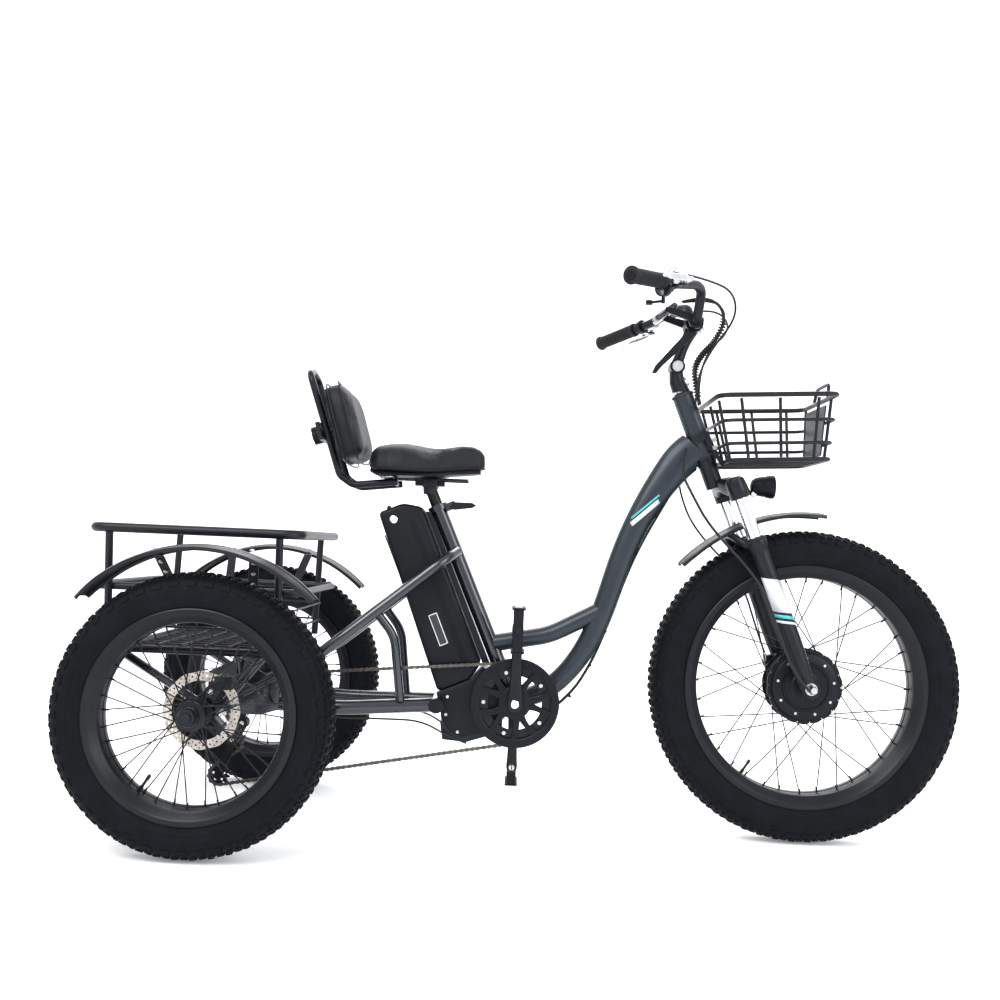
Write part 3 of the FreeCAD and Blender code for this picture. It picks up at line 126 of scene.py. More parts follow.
MATS = {
    "grey_paint": surface("satin_slate_paint", (0.015, 0.0205, 0.029), 0.38, 0.3, 0.1, 14, 0.05, 0.04, 1500,
                          0.15,
                          shine=0.4),
    "black_gloss": surface("gloss_black_paint", (0.006, 0.0085, 0.015), 0.22, 0.25, 0.15, 18, 0.05, 0.02, 900,
                           0.7),
    "black_steel": surface("black_powder_coat", (0.0042, 0.0055, 0.008), 0.4, 0.1, 0.2, 30, 0.07, 0.12, 1700,
                           shine=0.32),
    "black_alloy": surface("black_anodised", (0.006, 0.0075, 0.0105), 0.34, 0.4, 0.2, 35, 0.06, 0.06, 1500,
                           shine=0.36),
    "rim_black": surface("rim_black", (0.005, 0.0062, 0.0085), 0.34, 0.0, 0.15, 25, 0.06, 0.04, 1500,
                         shine=0.22),
    "motor_black": surface("cast_motor_black", (0.005, 0.0062, 0.0088), 0.38, 0.3, 0.2, 40, 0.08, 0.22, 1100,
                           shine=0.22),
    "chrome": surface("hard_chrome", (0.82, 0.83, 0.85), 0.1, 1.0, 0.03, 30, 0.03),
    "steel": surface("zinc_steel", (0.55, 0.55, 0.54), 0.34, 1.0, 0.1, 60, 0.1, 0.05, 1800),
    "disc_steel": surface("brake_disc_steel", (0.52, 0.48, 0.43), 0.36, 1.0, 0.14, 90, 0.1, 0.1, 2500),
    "alloy": surface("polished_alloy", (0.7, 0.71, 0.73), 0.24, 1.0, 0.05, 50, 0.08, 0.03, 1500),
    "chain": surface("oiled_chain", (0.11, 0.098, 0.09), 0.38, 1.0, 0.25, 160, 0.12, 0.05, 2200),
    "tyre": surface("tyre_rubber", (0.003, 0.0039, 0.0056), 0.66, 0.0, 0.22, 26, 0.08, 0.3, 1300, shine=0.1),
    "rubber": surface("cable_rubber", (0.007, 0.007, 0.008), 0.48, 0.0, 0.2, 60, 0.08, 0.08, 1500, shine=0.3),
    "grip": surface("grip_rubber", (0.0085, 0.009, 0.01), 0.6, 0.0, 0.2, 60, 0.08, 0.25, 1400, cells=True,
                    shine=0.25),
    "vinyl": surface("saddle_vinyl", (0.0048, 0.0058, 0.008), 0.5, 0.0, 0.18, 22, 0.09, 0.45, 750, cells=True,
                     shine=0.24),
    "plastic": surface("moulded_plastic", (0.0036, 0.0048, 0.007), 0.44, 0.0, 0.15, 30, 0.08, 0.2, 1300,
                       shine=0.18),
    "gloss_plastic": surface("gloss_plastic", (0.01, 0.011, 0.014), 0.16, 0.0, 0.15, 20, 0.05, 0.02, 700,
                             0.5),
    "label": surface("printed_silver", (0.62, 0.64, 0.67), 0.34, 0.3, 0.05, 50, 0.06),
    "teal": surface("printed_teal", (0.05, 0.42, 0.44), 0.38, 0.1, 0.08, 50, 0.06),
    "lens": surface("lamp_lens", (0.75, 0.78, 0.82), 0.08, 0.0, 0.04, 60, 0.04, 0.3, 420, 0.6, cells=True),
    "amber": surface("amber_reflector", (0.72, 0.2, 0.02), 0.18, 0.0, 0.15, 300, 0.05, 0.5, 600, 0.4,
                     cells=True),
    "screen": surface("display_screen", (0.02, 0.028, 0.034), 0.08, 0.0, 0.1, 40, 0.03, 0, 1, 0.7),
}


# ---------------------------------------------------------------- mesh helpers

def finish_piece(name, bm, body, mat, replaces=(), smooth=True, bevel=0.0, angle=35):
    """Turns a bmesh into a piece that rides on a body, or on none."""
    bmesh.ops.recalc_face_normals(bm, faces=bm.faces)
    mesh = bpy.data.meshes.new(name)
    bm.to_mesh(mesh)
    bm.free()
    obj = bpy.data.objects.new(name, mesh)
    bpy.context.collection.objects.link(obj)
    mesh.materials.append(MATS[mat])
    if smooth:
        mesh.shade_smooth()
        mesh.set_sharp_from_angle(angle=math.radians(angle))
    if bevel:
        mod = obj.modifiers.new("edge", "BEVEL")
        mod.width = bevel
        mod.segments = 2
        mod.limit_method = "ANGLE"
        mod.angle_limit = math.radians(40)
        mod.harden_normals = False
    if body:
        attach(obj, body)
    if replaces:
        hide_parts(*replaces)
    return obj


def angles(count, phase=0.0):
    """Evenly spaced angles round a full turn."""
    return [2 * math.pi * k / count + phase for k in range(count)]


def squared(value, power):
    """Sine or cosine drawn towards a square section, its sign kept."""
    return math.copysign(abs(value) ** power, value)


def ellipse(centre, u, w, ru, rw, count):
    """Ring of points about a centre, ru along u and rw along w."""
    return [centre + u * (ru * math.cos(t)) + w * (rw * math.sin(t)) for t in angles(count)]


def on_middle(point):
    """The same point, moved to the middle plane."""
    return Vector((point.x, 0, point.z))


def basis(direction):
    """Unit direction and two unit vectors square to it."""
    d = Vector(direction).normalized()
    side = Vector((0, 1, 0)) if abs(d.y) < 0.9 else Vector((1, 0, 0))
    u = side.cross(d).normalized()
    return d, u, d.cross(u).normalized()


def add_loft(bm, rings, closed=False, caps=True):
    """Skins rings of points; closed joins the last ring to the first."""
    verts = [[bm.verts.new(p) for p in ring] for ring in rings]
    count = len(verts[0])
    spans = len(verts) if closed else len(verts) - 1
    for i in range(spans):
        a, b = verts[i], verts[(i + 1) % len(verts)]
        for k in range(count):
            bm.faces.new((a[k], a[(k + 1) % count], b[(k + 1) % count], b[k]))
    if caps and not closed:
        bm.faces.new(list(reversed(verts[0])))
        bm.faces.new(verts[-1])
    return verts


def add_bar(bm, a, b, r0, r1=None, count=16):
    """Round bar from a to b, with its own end radii."""
    a, b = Vector(a), Vector(b)
    _, u, w = basis(b - a)
    r1 = r0 if r1 is None else r1
    add_loft(bm, [ellipse(p, u, w, r, r, count) for p, r in ((a, r0), (b, r1))])


def add_turned(bm, centre, axis, profile, count=64, closed=True):
    """Solid of revolution: profile of (radius, distance along axis)."""
    d, u, w = basis(axis)
    centre = Vector(centre)
    rings = []
    for t in angles(count):
        out = u * math.cos(t) + w * math.sin(t)
        rings.append([centre + out * r + d * h for r, h in profile])
    verts = [[bm.verts.new(p) for p in ring] for ring in rings]
    n = len(profile)
    spans = n if closed else n - 1
    for k in range(count):
        a, b = verts[k], verts[(k + 1) % count]
        for i in range(spans):
            bm.faces.new((a[i], a[(i + 1) % n], b[(i + 1) % n], b[i]))
    bmesh.ops.remove_doubles(bm, verts=bm.verts, dist=1e-7)


def add_box(bm, centre, size, matrix=None):
    """Box about a centre, turned by a matrix."""
    made = bmesh.ops.create_cube(bm, size=1.0)
    m = Matrix.Translation(Vector(centre)) @ (matrix or Matrix.Identity(4)) @ Matrix.Diagonal((*size, 1))
    bmesh.ops.transform(bm, matrix=m, verts=made["verts"])


def spline_points(points):
    """Points along a smooth NURBS line through a given route."""
    curve = bpy.data.curves.new("route", "CURVE")
    curve.dimensions = "3D"
    line = curve.splines.new("NURBS")
    line.points.add(len(points) - 1)
    for p, q in zip(line.points, points):
        p.co = (*q, 1)
    line.order_u = 3
    line.use_endpoint_u = True
    line.resolution_u = 12
    obj = bpy.data.objects.new("route", curve)
    bpy.context.collection.objects.link(obj)
    depsgraph = bpy.context.evaluated_depsgraph_get()
    mesh = bpy.data.meshes.new_from_object(obj.evaluated_get(depsgraph))
    pts = [v.co.copy() for v in mesh.vertices]
    bpy.data.objects.remove(obj)
    bpy.data.curves.remove(curve)
    bpy.data.meshes.remove(mesh)
    return pts


def add_tube(bm, pts, radius, count=12):
    """Tube along points, with a frame carried along so that it never twists."""
    u = basis(pts[1] - pts[0])[1]
    rings = []
    for i, p in enumerate(pts):
        ahead = pts[min(i + 1, len(pts) - 1)] - pts[max(i - 1, 0)]
        t = ahead.normalized()
        u = (u - t * u.dot(t)).normalized()
        rings.append(ellipse(p, u, t.cross(u), radius, radius, count))
    add_loft(bm, rings)


def node_material(node, mat):
    """Gives a CAD node one of the materials."""
    obj = NODES[node]
    obj.data.materials.clear()
    obj.data.materials.append(MATS[mat])


# ---------------------------------------------------------------- wheels

FRONT_AXLE = Vector(JOINTS["front_wheel_spin"]["pos_m"])
REAR_AXLE = Vector(JOINTS["right_wheel_spin"]["pos_m"])
BB = Vector(JOINTS["crank_spin"]["pos_m"])
GUIDE = Vector(JOINTS["guide_pulley_spin"]["pos_m"])
TENSION = Vector(JOINTS["tension_pulley_spin"]["pos_m"])
Y = Vector((0, 1, 0))

FRONT_TYRE_R, REAR_TYRE_R = 0.352, 0.282
FRONT_RIM_R, REAR_RIM_R = 0.274, 0.212
REAR_WHEEL_Y = 0.33
FRONT_DISC_Y, REAR_DISC_Y = 0.05, 0.28
DISC_R = 0.0785
KNOB = 0.0048
KNOB_PITCH = 0.0185
SPOKES = 36


def on_wheel(centre, radius, across, angle):
    """Point on a wheel; the angle starts at the top and runs forward."""
    return Vector((centre.x + radius * math.sin(angle), centre.y + across,
                   centre.z + radius * math.cos(angle)))


def tyre_profile(outer_r, rim_r):
    """Carcass section from one bead over the tread to the other: (radius, across)."""
    half = 0.0485
    crown = outer_r - KNOB
    side = [(rim_r - 0.002, 0.0345), (rim_r + 0.003, 0.0375), (rim_r + 0.006, 0.0385),
            (rim_r + 0.012, 0.0425),
            (rim_r + 0.0135, 0.0432), (rim_r + 0.015, 0.043), (rim_r + 0.024, 0.0465),
            (rim_r + 0.0255, 0.0472),
            (rim_r + 0.027, 0.047), (rim_r + 0.036, half), (crown - 0.026, half - 0.0004),
            (crown - 0.017, half - 0.0035), (crown - 0.009, half - 0.0105), (crown - 0.0035, half - 0.02),
            (crown - 0.0008, half - 0.032)]
    outer = side + [(crown, 0.0)] + [(r, -w) for r, w in reversed(side)]
    inner = [(rim_r + 0.004, -0.031), (rim_r + 0.03, -0.044), (crown - 0.018, -0.034), (crown - 0.007, 0.0),
             (crown - 0.018, 0.034), (rim_r + 0.03, 0.044), (rim_r + 0.004, 0.031)]
    return outer + inner


def add_knob(bm, centre, radius, across, angle, size, tilt=0.0, yaw=0.0):
    """One tapered tread block standing on the carcass; tilt leans it out on the shoulder."""
    length, width, height = size
    out = Vector((math.sin(angle), 0, math.cos(angle)))
    run = Vector((math.cos(angle), 0, -math.sin(angle)))
    normal = (out * math.cos(tilt) + Y * math.sin(tilt)).normalized()
    side = (Y * math.cos(tilt) - out * math.sin(tilt)).normalized()
    turned = run * math.cos(yaw) + side * math.sin(yaw)
    cross = side * math.cos(yaw) - run * math.sin(yaw)
    base = centre + out * radius + Y * across
    rings = []
    for h, k in ((-0.003, 1.12), (height - 0.0008, 0.94), (height, 0.84)):
        rings.append([base + normal * h + turned * (sx * length * k / 2) + cross * (sy * width * k / 2)
                      for sx, sy in ((-1, -1), (1, -1), (1, 1), (-1, 1))])
    add_loft(bm, rings)


def build_tyre(name, body, centre, outer_r, rim_r):
    """Carcass and rows of tread blocks, crown to shoulder."""
    bm = bmesh.new()
    add_turned(bm, centre, Y, tyre_profile(outer_r, rim_r), 128)
    crown = outer_r - KNOB
    rows = int(round(2 * math.pi * outer_r / KNOB_PITCH))
    for i in range(rows):
        a = 2 * math.pi * i / rows
        half_step = math.pi / rows
        odd = i % 2
        spread = 0.0085 if odd else 0.0
        if odd:
            add_knob(bm, centre, crown - 0.0004, spread, a, (0.0095, 0.0085, KNOB), 0.0, 0.25)
            add_knob(bm, centre, crown - 0.0004, -spread, a, (0.0095, 0.0085, KNOB), 0.0, -0.25)
        else:
            add_knob(bm, centre, crown, 0.0, a, (0.0085, 0.01, KNOB))
        for side in (-1, 1):
            add_knob(bm, centre, crown - 0.003, side * (0.0205 if odd else 0.017), a, (0.01, 0.008, KNOB),
                     side * 0.26, side * 0.3)
            add_knob(bm, centre, crown - 0.0085, side * 0.033, a + half_step, (0.01, 0.0085, KNOB),
                     side * 0.62, -side * 0.25)
            length = 0.0115 if odd else 0.0085
            add_knob(bm, centre, crown - 0.0185, side * 0.0436, a + half_step * odd, (length, 0.0095, 0.0042),
                     side * 1.12, 0.0)
    return finish_piece(name + "_knobbly", bm, body, "tyre", (name,), angle=30)


def build_rim(name, body, centre, rim_r):
    """Fat rim with flanges, a stepped well, nipples and the valve."""
    bm = bmesh.new()
    well = rim_r - 0.03
    half = [(rim_r - 0.0006, 0.0385), (rim_r - 0.003, 0.0398), (rim_r - 0.012, 0.0398),
            (rim_r - 0.0155, 0.0375),
            (well + 0.006, 0.027), (well + 0.0015, 0.0235), (well, 0.019), (well, 0.007),
            (well + 0.001, 0.0055)]
    under = [(rim_r - 0.0006, 0.0352), (rim_r - 0.013, 0.032), (rim_r - 0.018, 0.0)]
    profile = half + [(r, -w) for r, w in reversed(half)] + [(r, -w) for r, w in under]
    profile += [(r, w) for r, w in reversed(under[:-1])]
    add_turned(bm, centre, Y, profile, 128)
    rim = finish_piece(name + "_section", bm, body, "rim_black", (name,), angle=28)
    bm = bmesh.new()
    for i, a in enumerate(angles(SPOKES)):
        side = 1 if i % 2 else -1
        lace = 1 if (i // 2) % 2 else -1
        across = side * 0.008 + lace * 0.0015
        add_bar(bm, on_wheel(centre, well - 0.01, across, a), on_wheel(centre, well + 0.004, across, a),
                0.0018, 0.0024, 8)
    valve = math.radians(213)
    add_bar(bm, on_wheel(centre, well + 0.002, 0, valve), on_wheel(centre, well - 0.01, 0, valve), 0.0042,
            0.004, 12)
    add_bar(bm, on_wheel(centre, well - 0.01, 0, valve), on_wheel(centre, well - 0.034, 0, valve), 0.003,
            0.0027, 12)
    add_bar(bm, on_wheel(centre, well - 0.026, 0, valve), on_wheel(centre, well - 0.036, 0, valve), 0.004,
            0.0036, 12)
    finish_piece(name + "_nipples", bm, body, "black_alloy")
    return rim


def add_cut_plate(bm, centre, y, thickness, outline, holes):
    """Flat plate about Y: the face between its outline and round holes (x, z, radius, sides)."""
    outlines = [outline]
    for hx, hz, hr, sides in holes:
        outlines.append([Vector((hx + hr * math.sin(t), hz + hr * math.cos(t))) for t in angles(sides)])
    flat = bmesh.new()
    edges = []
    for ring in outlines:
        vs = [flat.verts.new((p.x, 0, p.y)) for p in ring]
        edges += [flat.edges.new((vs[i], vs[(i + 1) % len(vs)])) for i in range(len(vs))]
    bmesh.ops.triangle_fill(flat, edges=edges, use_beauty=True, use_dissolve=False)
    flat.verts.index_update()
    low, high = [[bm.verts.new((centre.x + v.co.x, y + dy, centre.z + v.co.z)) for v in flat.verts]
                 for dy in (-thickness / 2, thickness / 2)]
    for f in flat.faces:
        idx = [v.index for v in f.verts]
        bm.faces.new([low[i] for i in idx])
        bm.faces.new([high[i] for i in reversed(idx)])
    for e in flat.edges:
        if len(e.link_faces) == 1:
            i, j = e.verts[0].index, e.verts[1].index
            bm.faces.new((low[i], low[j], high[j], high[i]))
    flat.free()


def waved_outline(radius, wave, waves, count=144):
    """Circle whose edge waves in and out."""
    return [(radius + wave * math.cos(waves * t)) * Vector((math.sin(t), math.cos(t))) for t in angles(count)]


def build_rotor(name, body, centre, y, replaces=()):
    """Drilled brake disc: a friction ring with two rows of holes, on a six-armed carrier."""
    holes = []
    rows = ((0.0755, 30, 0.0017), (0.0705, 30, 0.0022), (0.0655, 30, 0.0017))
    for n, (r, count, hr) in enumerate(rows):
        for k in range(count):
            t = 2 * math.pi * (k + 0.5 * (n % 2)) / count
            holes.append((r * math.sin(t), r * math.cos(t), hr, 8))
    holes.append((0, 0, 0.0605, 96))
    bm = bmesh.new()
    add_cut_plate(bm, centre, y, 0.0018, waved_outline(DISC_R, 0.0009, 12), holes)
    finish_piece(name, bm, body, "disc_steel", replaces)
    bm = bmesh.new()
    for k in range(6):
        add_swept_arm(bm, centre, y, 2 * math.pi * k / 6, 0.024, 0.0645, 0.0046, 0.0013, 0.42)
    add_turned(bm, Vector((centre.x, y, centre.z)), Y, [(0.0165, -0.0016), (0.029, -0.0016), (0.03, -0.0008),
                                                        (0.03, 0.0008), (0.029, 0.0016), (0.0165, 0.0016)],
               48)
    finish_piece(name + "_carrier", bm, body, "black_alloy", angle=30)
    bm = bmesh.new()
    for k in range(6):
        turn = 2 * math.pi * k / 6 + 0.42
        c = Vector((centre.x + 0.0632 * math.sin(turn), y, centre.z + 0.0632 * math.cos(turn)))
        add_turned(bm, c, Y,
                   [(0.0, -0.0022), (0.0034, -0.0022), (0.004, -0.0014), (0.004, 0.0014), (0.0034, 0.0022),
                              (0.0, 0.0022)], 14, closed=False)
    finish_piece(name + "_rivets", bm, body, "steel", angle=30)


def add_swept_arm(bm, centre, y, start, r0, r1, wide, thick, sweep):
    """Flat arm that leaves radius r0 and sweeps round to r1, wider at both ends."""
    rings = []
    for k in range(9):
        t = k / 8
        turn = start + sweep * t
        w = wide * (0.75 + 0.75 * (2 * t - 1) ** 2)
        out = Vector((math.sin(turn), 0, math.cos(turn)))
        across = Vector((math.cos(turn), 0, -math.sin(turn)))
        c = Vector((centre.x, y, centre.z)) + out * (r0 + (r1 - r0) * t)
        rings.append([c + across * (sx * w) + Y * (sy * thick)
                      for sx, sy in ((-0.8, -1), (0.8, -1), (1, -0.5), (1, 0.5), (0.8, 1), (-0.8, 1),
                                     (-1, 0.5), (-1, -0.5))])
    add_loft(bm, rings)


def add_socket_head(bm, place, axis, outer, crown, socket, floor, count, base=0.0):
    """Bolt head with a chamfered crown and a hollow: outer, crown, socket and floor are (radius, height)."""
    profile = [(0.0, base), (outer[0], base), outer, crown, (socket[0], crown[1]), floor, (0.0, floor[1])]
    add_turned(bm, place, axis, profile, count, closed=False)


def add_ring_of_bolts(bm, centre, y0, y1, ring_r, count, r, phase=0.0):
    """Ring of round bolt heads between y0 and y1."""
    for k in range(count):
        a = 2 * math.pi * k / count + phase
        c = Vector((centre.x + ring_r * math.sin(a), 0, centre.z + ring_r * math.cos(a)))
        depth = (y1 - y0) * 0.45
        profile = [(0.0, 0.0), (r, 0.0), (r, y1 - y0 - (y1 - y0) * 0.12), (r * 0.86, y1 - y0),
                   (r * 0.5, y1 - y0),
                   (r * 0.5, y1 - y0 - depth), (0.0, y1 - y0 - depth)]
        add_turned(bm, c + Y * y0, Y, profile, 14, closed=False)


def build_rear_hub(side, name, body):
    """Flanged hub with its disc carrier, disc and bolts."""
    centre = on_middle(REAR_AXLE)
    bm = bmesh.new()
    prof = [(0.0102, 0.2835), (0.0165, 0.2835), (0.018, 0.285), (0.018, 0.303), (0.0295, 0.305),
            (0.03, 0.307),
            (0.0295, 0.309), (0.0185, 0.311), (0.0155, 0.318), (0.015, 0.33), (0.0155, 0.342),
            (0.0185, 0.349),
            (0.0295, 0.351), (0.03, 0.353), (0.0295, 0.355), (0.02, 0.357), (0.02, 0.368),
            (0.018, 0.3715), (0.0102, 0.3715)]
    add_turned(bm, centre, Y, [(r, side * h) for r, h in prof], 48)
    carrier = [(0.0102, 0.262), (0.019, 0.262), (0.02, 0.264), (0.02, 0.275), (0.029, 0.2765),
               (0.029, 0.2788),
               (0.0102, 0.2788)]
    add_turned(bm, centre, Y, [(r, side * h) for r, h in carrier], 48)
    hub = finish_piece(name + "_hub_shell", bm, body, "black_alloy", (name + "_hub",),
                       angle=30)
    build_rotor(name + "_rotor", body, centre, side * REAR_DISC_Y)
    bm = bmesh.new()
    inner, outer = sorted((side * 0.2782, side * 0.276))
    add_ring_of_bolts(bm, centre, inner, outer, 0.0235, 6, 0.0032)
    finish_piece(name + "_rotor_bolts", bm, body, "steel", angle=30)
    return hub


def build_wheels():
    """Three wheels: tyres, rims, hubs, and the materials of spokes and axle."""
    build_tyre("front_tyre", "front_wheel", FRONT_AXLE, FRONT_TYRE_R, FRONT_RIM_R)
    build_rim("front_rim", "front_wheel", FRONT_AXLE, FRONT_RIM_R)
    for side, name in ((-1, "right"), (1, "left")):
        centre = Vector((REAR_AXLE.x, side * REAR_WHEEL_Y, REAR_AXLE.z))
        body = name + "_wheel"
        build_tyre(name + "_tyre", body, centre, REAR_TYRE_R, REAR_RIM_R)
        build_rim(name + "_rim", body, centre, REAR_RIM_R)
        build_rear_hub(side, name, body)
    for node in ("front_spokes", "right_spokes", "left_spokes"):
        node_material(node, "black_alloy")
    node_material("rear_axle", "black_alloy")
    build_hub_motor()


def build_hub_motor():
    """Motor shell with cooling steps, scalloped flanges, cover screws and the brake disc."""
    bm = bmesh.new()
    prof = [(0.0122, -0.0375), (0.03, -0.0375), (0.033, -0.036), (0.035, -0.0345), (0.048, -0.0345),
            (0.05, -0.0368), (0.053, -0.0368), (0.055, -0.0335), (0.07, -0.032), (0.075, -0.029),
            (0.0775, -0.0245), (0.079, -0.0238), (0.079, -0.019), (0.0775, -0.018), (0.0765, -0.016),
            (0.0765, 0.016), (0.0775, 0.018), (0.079, 0.019), (0.079, 0.0238), (0.0775, 0.0245),
            (0.075, 0.029), (0.07, 0.032), (0.045, 0.035), (0.033, 0.0435), (0.0122, 0.0435)]
    add_turned(bm, FRONT_AXLE, Y, prof, 96)
    finish_piece("motor_shell", bm, "front_wheel", "motor_black", ("hub_motor",), angle=26)
    bm = bmesh.new()
    for side in (-1, 1):
        holes = [(0.0815 * math.sin(t), 0.0815 * math.cos(t), 0.0014, 8)
                 for t in (2 * math.pi * (k + 0.5) / 18 for k in range(18))]
        holes.append((0, 0, 0.0755, 72))
        add_cut_plate(bm, FRONT_AXLE, side * 0.0214, 0.0034, waved_outline(0.0848, 0.001, 18), holes)
    finish_piece("motor_flanges", bm, "front_wheel", "motor_black", angle=30)
    bm = bmesh.new()
    add_ring_of_bolts(bm, FRONT_AXLE, -0.0338, -0.0308, 0.064, 9, 0.003)
    add_ring_of_bolts(bm, FRONT_AXLE, 0.05, 0.0522, 0.0225, 6, 0.0032)
    finish_piece("motor_screws", bm, "front_wheel", "steel", angle=30)
    bm = bmesh.new()
    add_turned(bm, FRONT_AXLE, Y, [(0.0122, 0.0437), (0.03, 0.0437), (0.03, 0.0489), (0.0122, 0.0489)], 48)
    finish_piece("motor_disc_seat", bm, "front_wheel", "black_alloy", angle=30)
    build_rotor("front_rotor", "front_wheel", FRONT_AXLE, FRONT_DISC_Y)


# ---------------------------------------------------------------- drive

PITCH = 0.0127
CHAIN_Y = TENSION.y
RING_TEETH, DRIVEN_TEETH, PULLEY_TEETH = 44, 20, 11
SPROCKETS = (28, 24, 20, 18, 16, 14)
SPROCKET_GAP = 0.005
CRANK_AXLE_HALF = 0.066


def pitch_radius(teeth):
    """Pitch radius of a chain wheel."""
    return PITCH / (2 * math.sin(math.pi / teeth))


CHAIN_STOPS = [(BB, pitch_radius(RING_TEETH), 1), (TENSION, pitch_radius(PULLEY_TEETH), 1),
               (GUIDE, pitch_radius(PULLEY_TEETH), -1), (REAR_AXLE, pitch_radius(DRIVEN_TEETH), 1)]


def chain_line():
    """Closed pitch line of the chain as (x, z) points, and where it meets each wheel."""
    count = len(CHAIN_STOPS)
    angles = []
    for i in range(count):
        c1, r1, s1 = CHAIN_STOPS[i]
        c2, r2, s2 = CHAIN_STOPS[(i + 1) % count]
        dist = math.hypot(c2.x - c1.x, c2.z - c1.z)
        angles.append(math.atan2(c2.z - c1.z, c2.x - c1.x) - math.asin((s1 * r1 - s2 * r2) / dist))
    pts = []
    for i in range(count):
        c1, r1, s1 = CHAIN_STOPS[i]
        t = angles[i]
        turn = ((angles[i - 1] - t) * s1) % (2 * math.pi)
        steps = max(3, int(turn / math.radians(4)))
        for k in range(steps + 1):
            a = angles[i - 1] + s1 * math.pi / 2 - s1 * turn * k / steps
            pts.append((c1.x + r1 * math.cos(a), c1.z + r1 * math.sin(a)))
    return pts


def resample(pts, count):
    """Evenly spaced points round a closed line."""
    lengths = [0.0]
    loop = pts + [pts[0]]
    for a, b in zip(loop, loop[1:]):
        lengths.append(lengths[-1] + math.hypot(b[0] - a[0], b[1] - a[1]))
    total = lengths[-1]
    out = []
    seg = 0
    for i in range(count):
        d = total * i / count
        while lengths[seg + 1] < d:
            seg += 1
        t = (d - lengths[seg]) / max(1e-9, lengths[seg + 1] - lengths[seg])
        a, b = loop[seg], loop[seg + 1]
        out.append((a[0] + (b[0] - a[0]) * t, a[1] + (b[1] - a[1]) * t))
    return out, total


def add_link_plate(bm, p, q, y, thick):
    """Waisted side plate between two pins."""
    d = Vector((q[0] - p[0], q[1] - p[1]))
    a0 = math.atan2(d.y, d.x)
    outline = []
    for c, start in ((q, -math.pi / 2), (p, math.pi / 2)):
        for k in range(7):
            a = a0 + start + math.pi * k / 6
            outline.append((c[0] + 0.004 * math.cos(a), c[1] + 0.004 * math.sin(a)))
        mid = ((p[0] + q[0]) / 2, (p[1] + q[1]) / 2)
        side = a0 + start + math.pi
        outline.append((mid[0] + 0.0026 * math.cos(side), mid[1] + 0.0026 * math.sin(side)))
    rings = [[Vector((x, yy, z)) for x, z in outline] for yy in (y - thick / 2, y + thick / 2)]
    add_loft(bm, rings)


def build_chain():
    """Closed roller chain: side plates, pins and rollers, one link per pitch."""
    pts = chain_line()
    _, total = resample(pts, 10)
    count = 2 * int(round(total / PITCH / 2))
    pins, _ = resample(pts, count)
    bm = bmesh.new()
    for i in range(count):
        p, q = pins[i], pins[(i + 1) % count]
        off = 0.0026 if i % 2 else 0.0016
        for side in (-1, 1):
            add_link_plate(bm, p, q, CHAIN_Y + side * off, 0.0009)
        add_bar(bm, (p[0], CHAIN_Y - 0.0032, p[1]), (p[0], CHAIN_Y + 0.0032, p[1]), 0.0017, count=8)
        add_bar(bm, (p[0], CHAIN_Y - 0.0012, p[1]), (p[0], CHAIN_Y + 0.0012, p[1]), 0.0037, count=10)
    finish_piece("roller_chain", bm, "frame", "chain", ("chain",), angle=40)


def tooth_outline(teeth, tip=0.0035, phase=0.0):
    """Outline of a toothed wheel as (x, z) points."""
    r = pitch_radius(teeth)
    out = []
    for k in range(teeth):
        base = 2 * math.pi * k / teeth + phase
        step = 2 * math.pi / teeth
        for f, rr in ((-0.36, r - 0.0036), (-0.18, r + 0.0004), (-0.08, r + tip), (0.08, r + tip),
                      (0.18, r + 0.0004), (0.36, r - 0.0036), (0.5, r - 0.0042)):
            a = base + f * step
            out.append(Vector((rr * math.sin(a), rr * math.cos(a))))
    return out


def add_cog(bm, centre, y, thickness, teeth, holes, tip=0.0035, phase=0.0):
    """Toothed plate about Y."""
    add_cut_plate(bm, centre, y, thickness, tooth_outline(teeth, tip, phase), holes)


def ring_of_holes(radius, count, r, phase=0.0, sides=16):
    """Evenly spaced holes as (x, z, radius, sides)."""
    return [(radius * math.sin(a), radius * math.cos(a), r, sides)
            for a in angles(count, phase)]


def add_guard_arm(bm, guard_y, a, side):
    """One half of a forked arm: it leaves the middle at angle a and curves out to one side."""
    rings = []
    for k in range(9):
        t = k / 8
        r = 0.032 + 0.052 * t
        turn = a + side * (0.16 + 0.17 * t ** 1.4)
        wide = 0.0062 + 0.003 * (2 * t - 1) ** 2
        thick = 0.0019
        out = Vector((math.sin(turn), 0, math.cos(turn)))
        across = Vector((math.cos(turn), 0, -math.sin(turn)))
        c = Vector((BB.x, guard_y, BB.z)) + out * r
        rings.append([c + across * (sx * wide) + Y * (sy * thick)
                      for sx, sy in ((-0.8, -1), (0.8, -1), (1, -0.6), (1, 1), (-1, 1), (-1, -0.6))])
    add_loft(bm, rings)


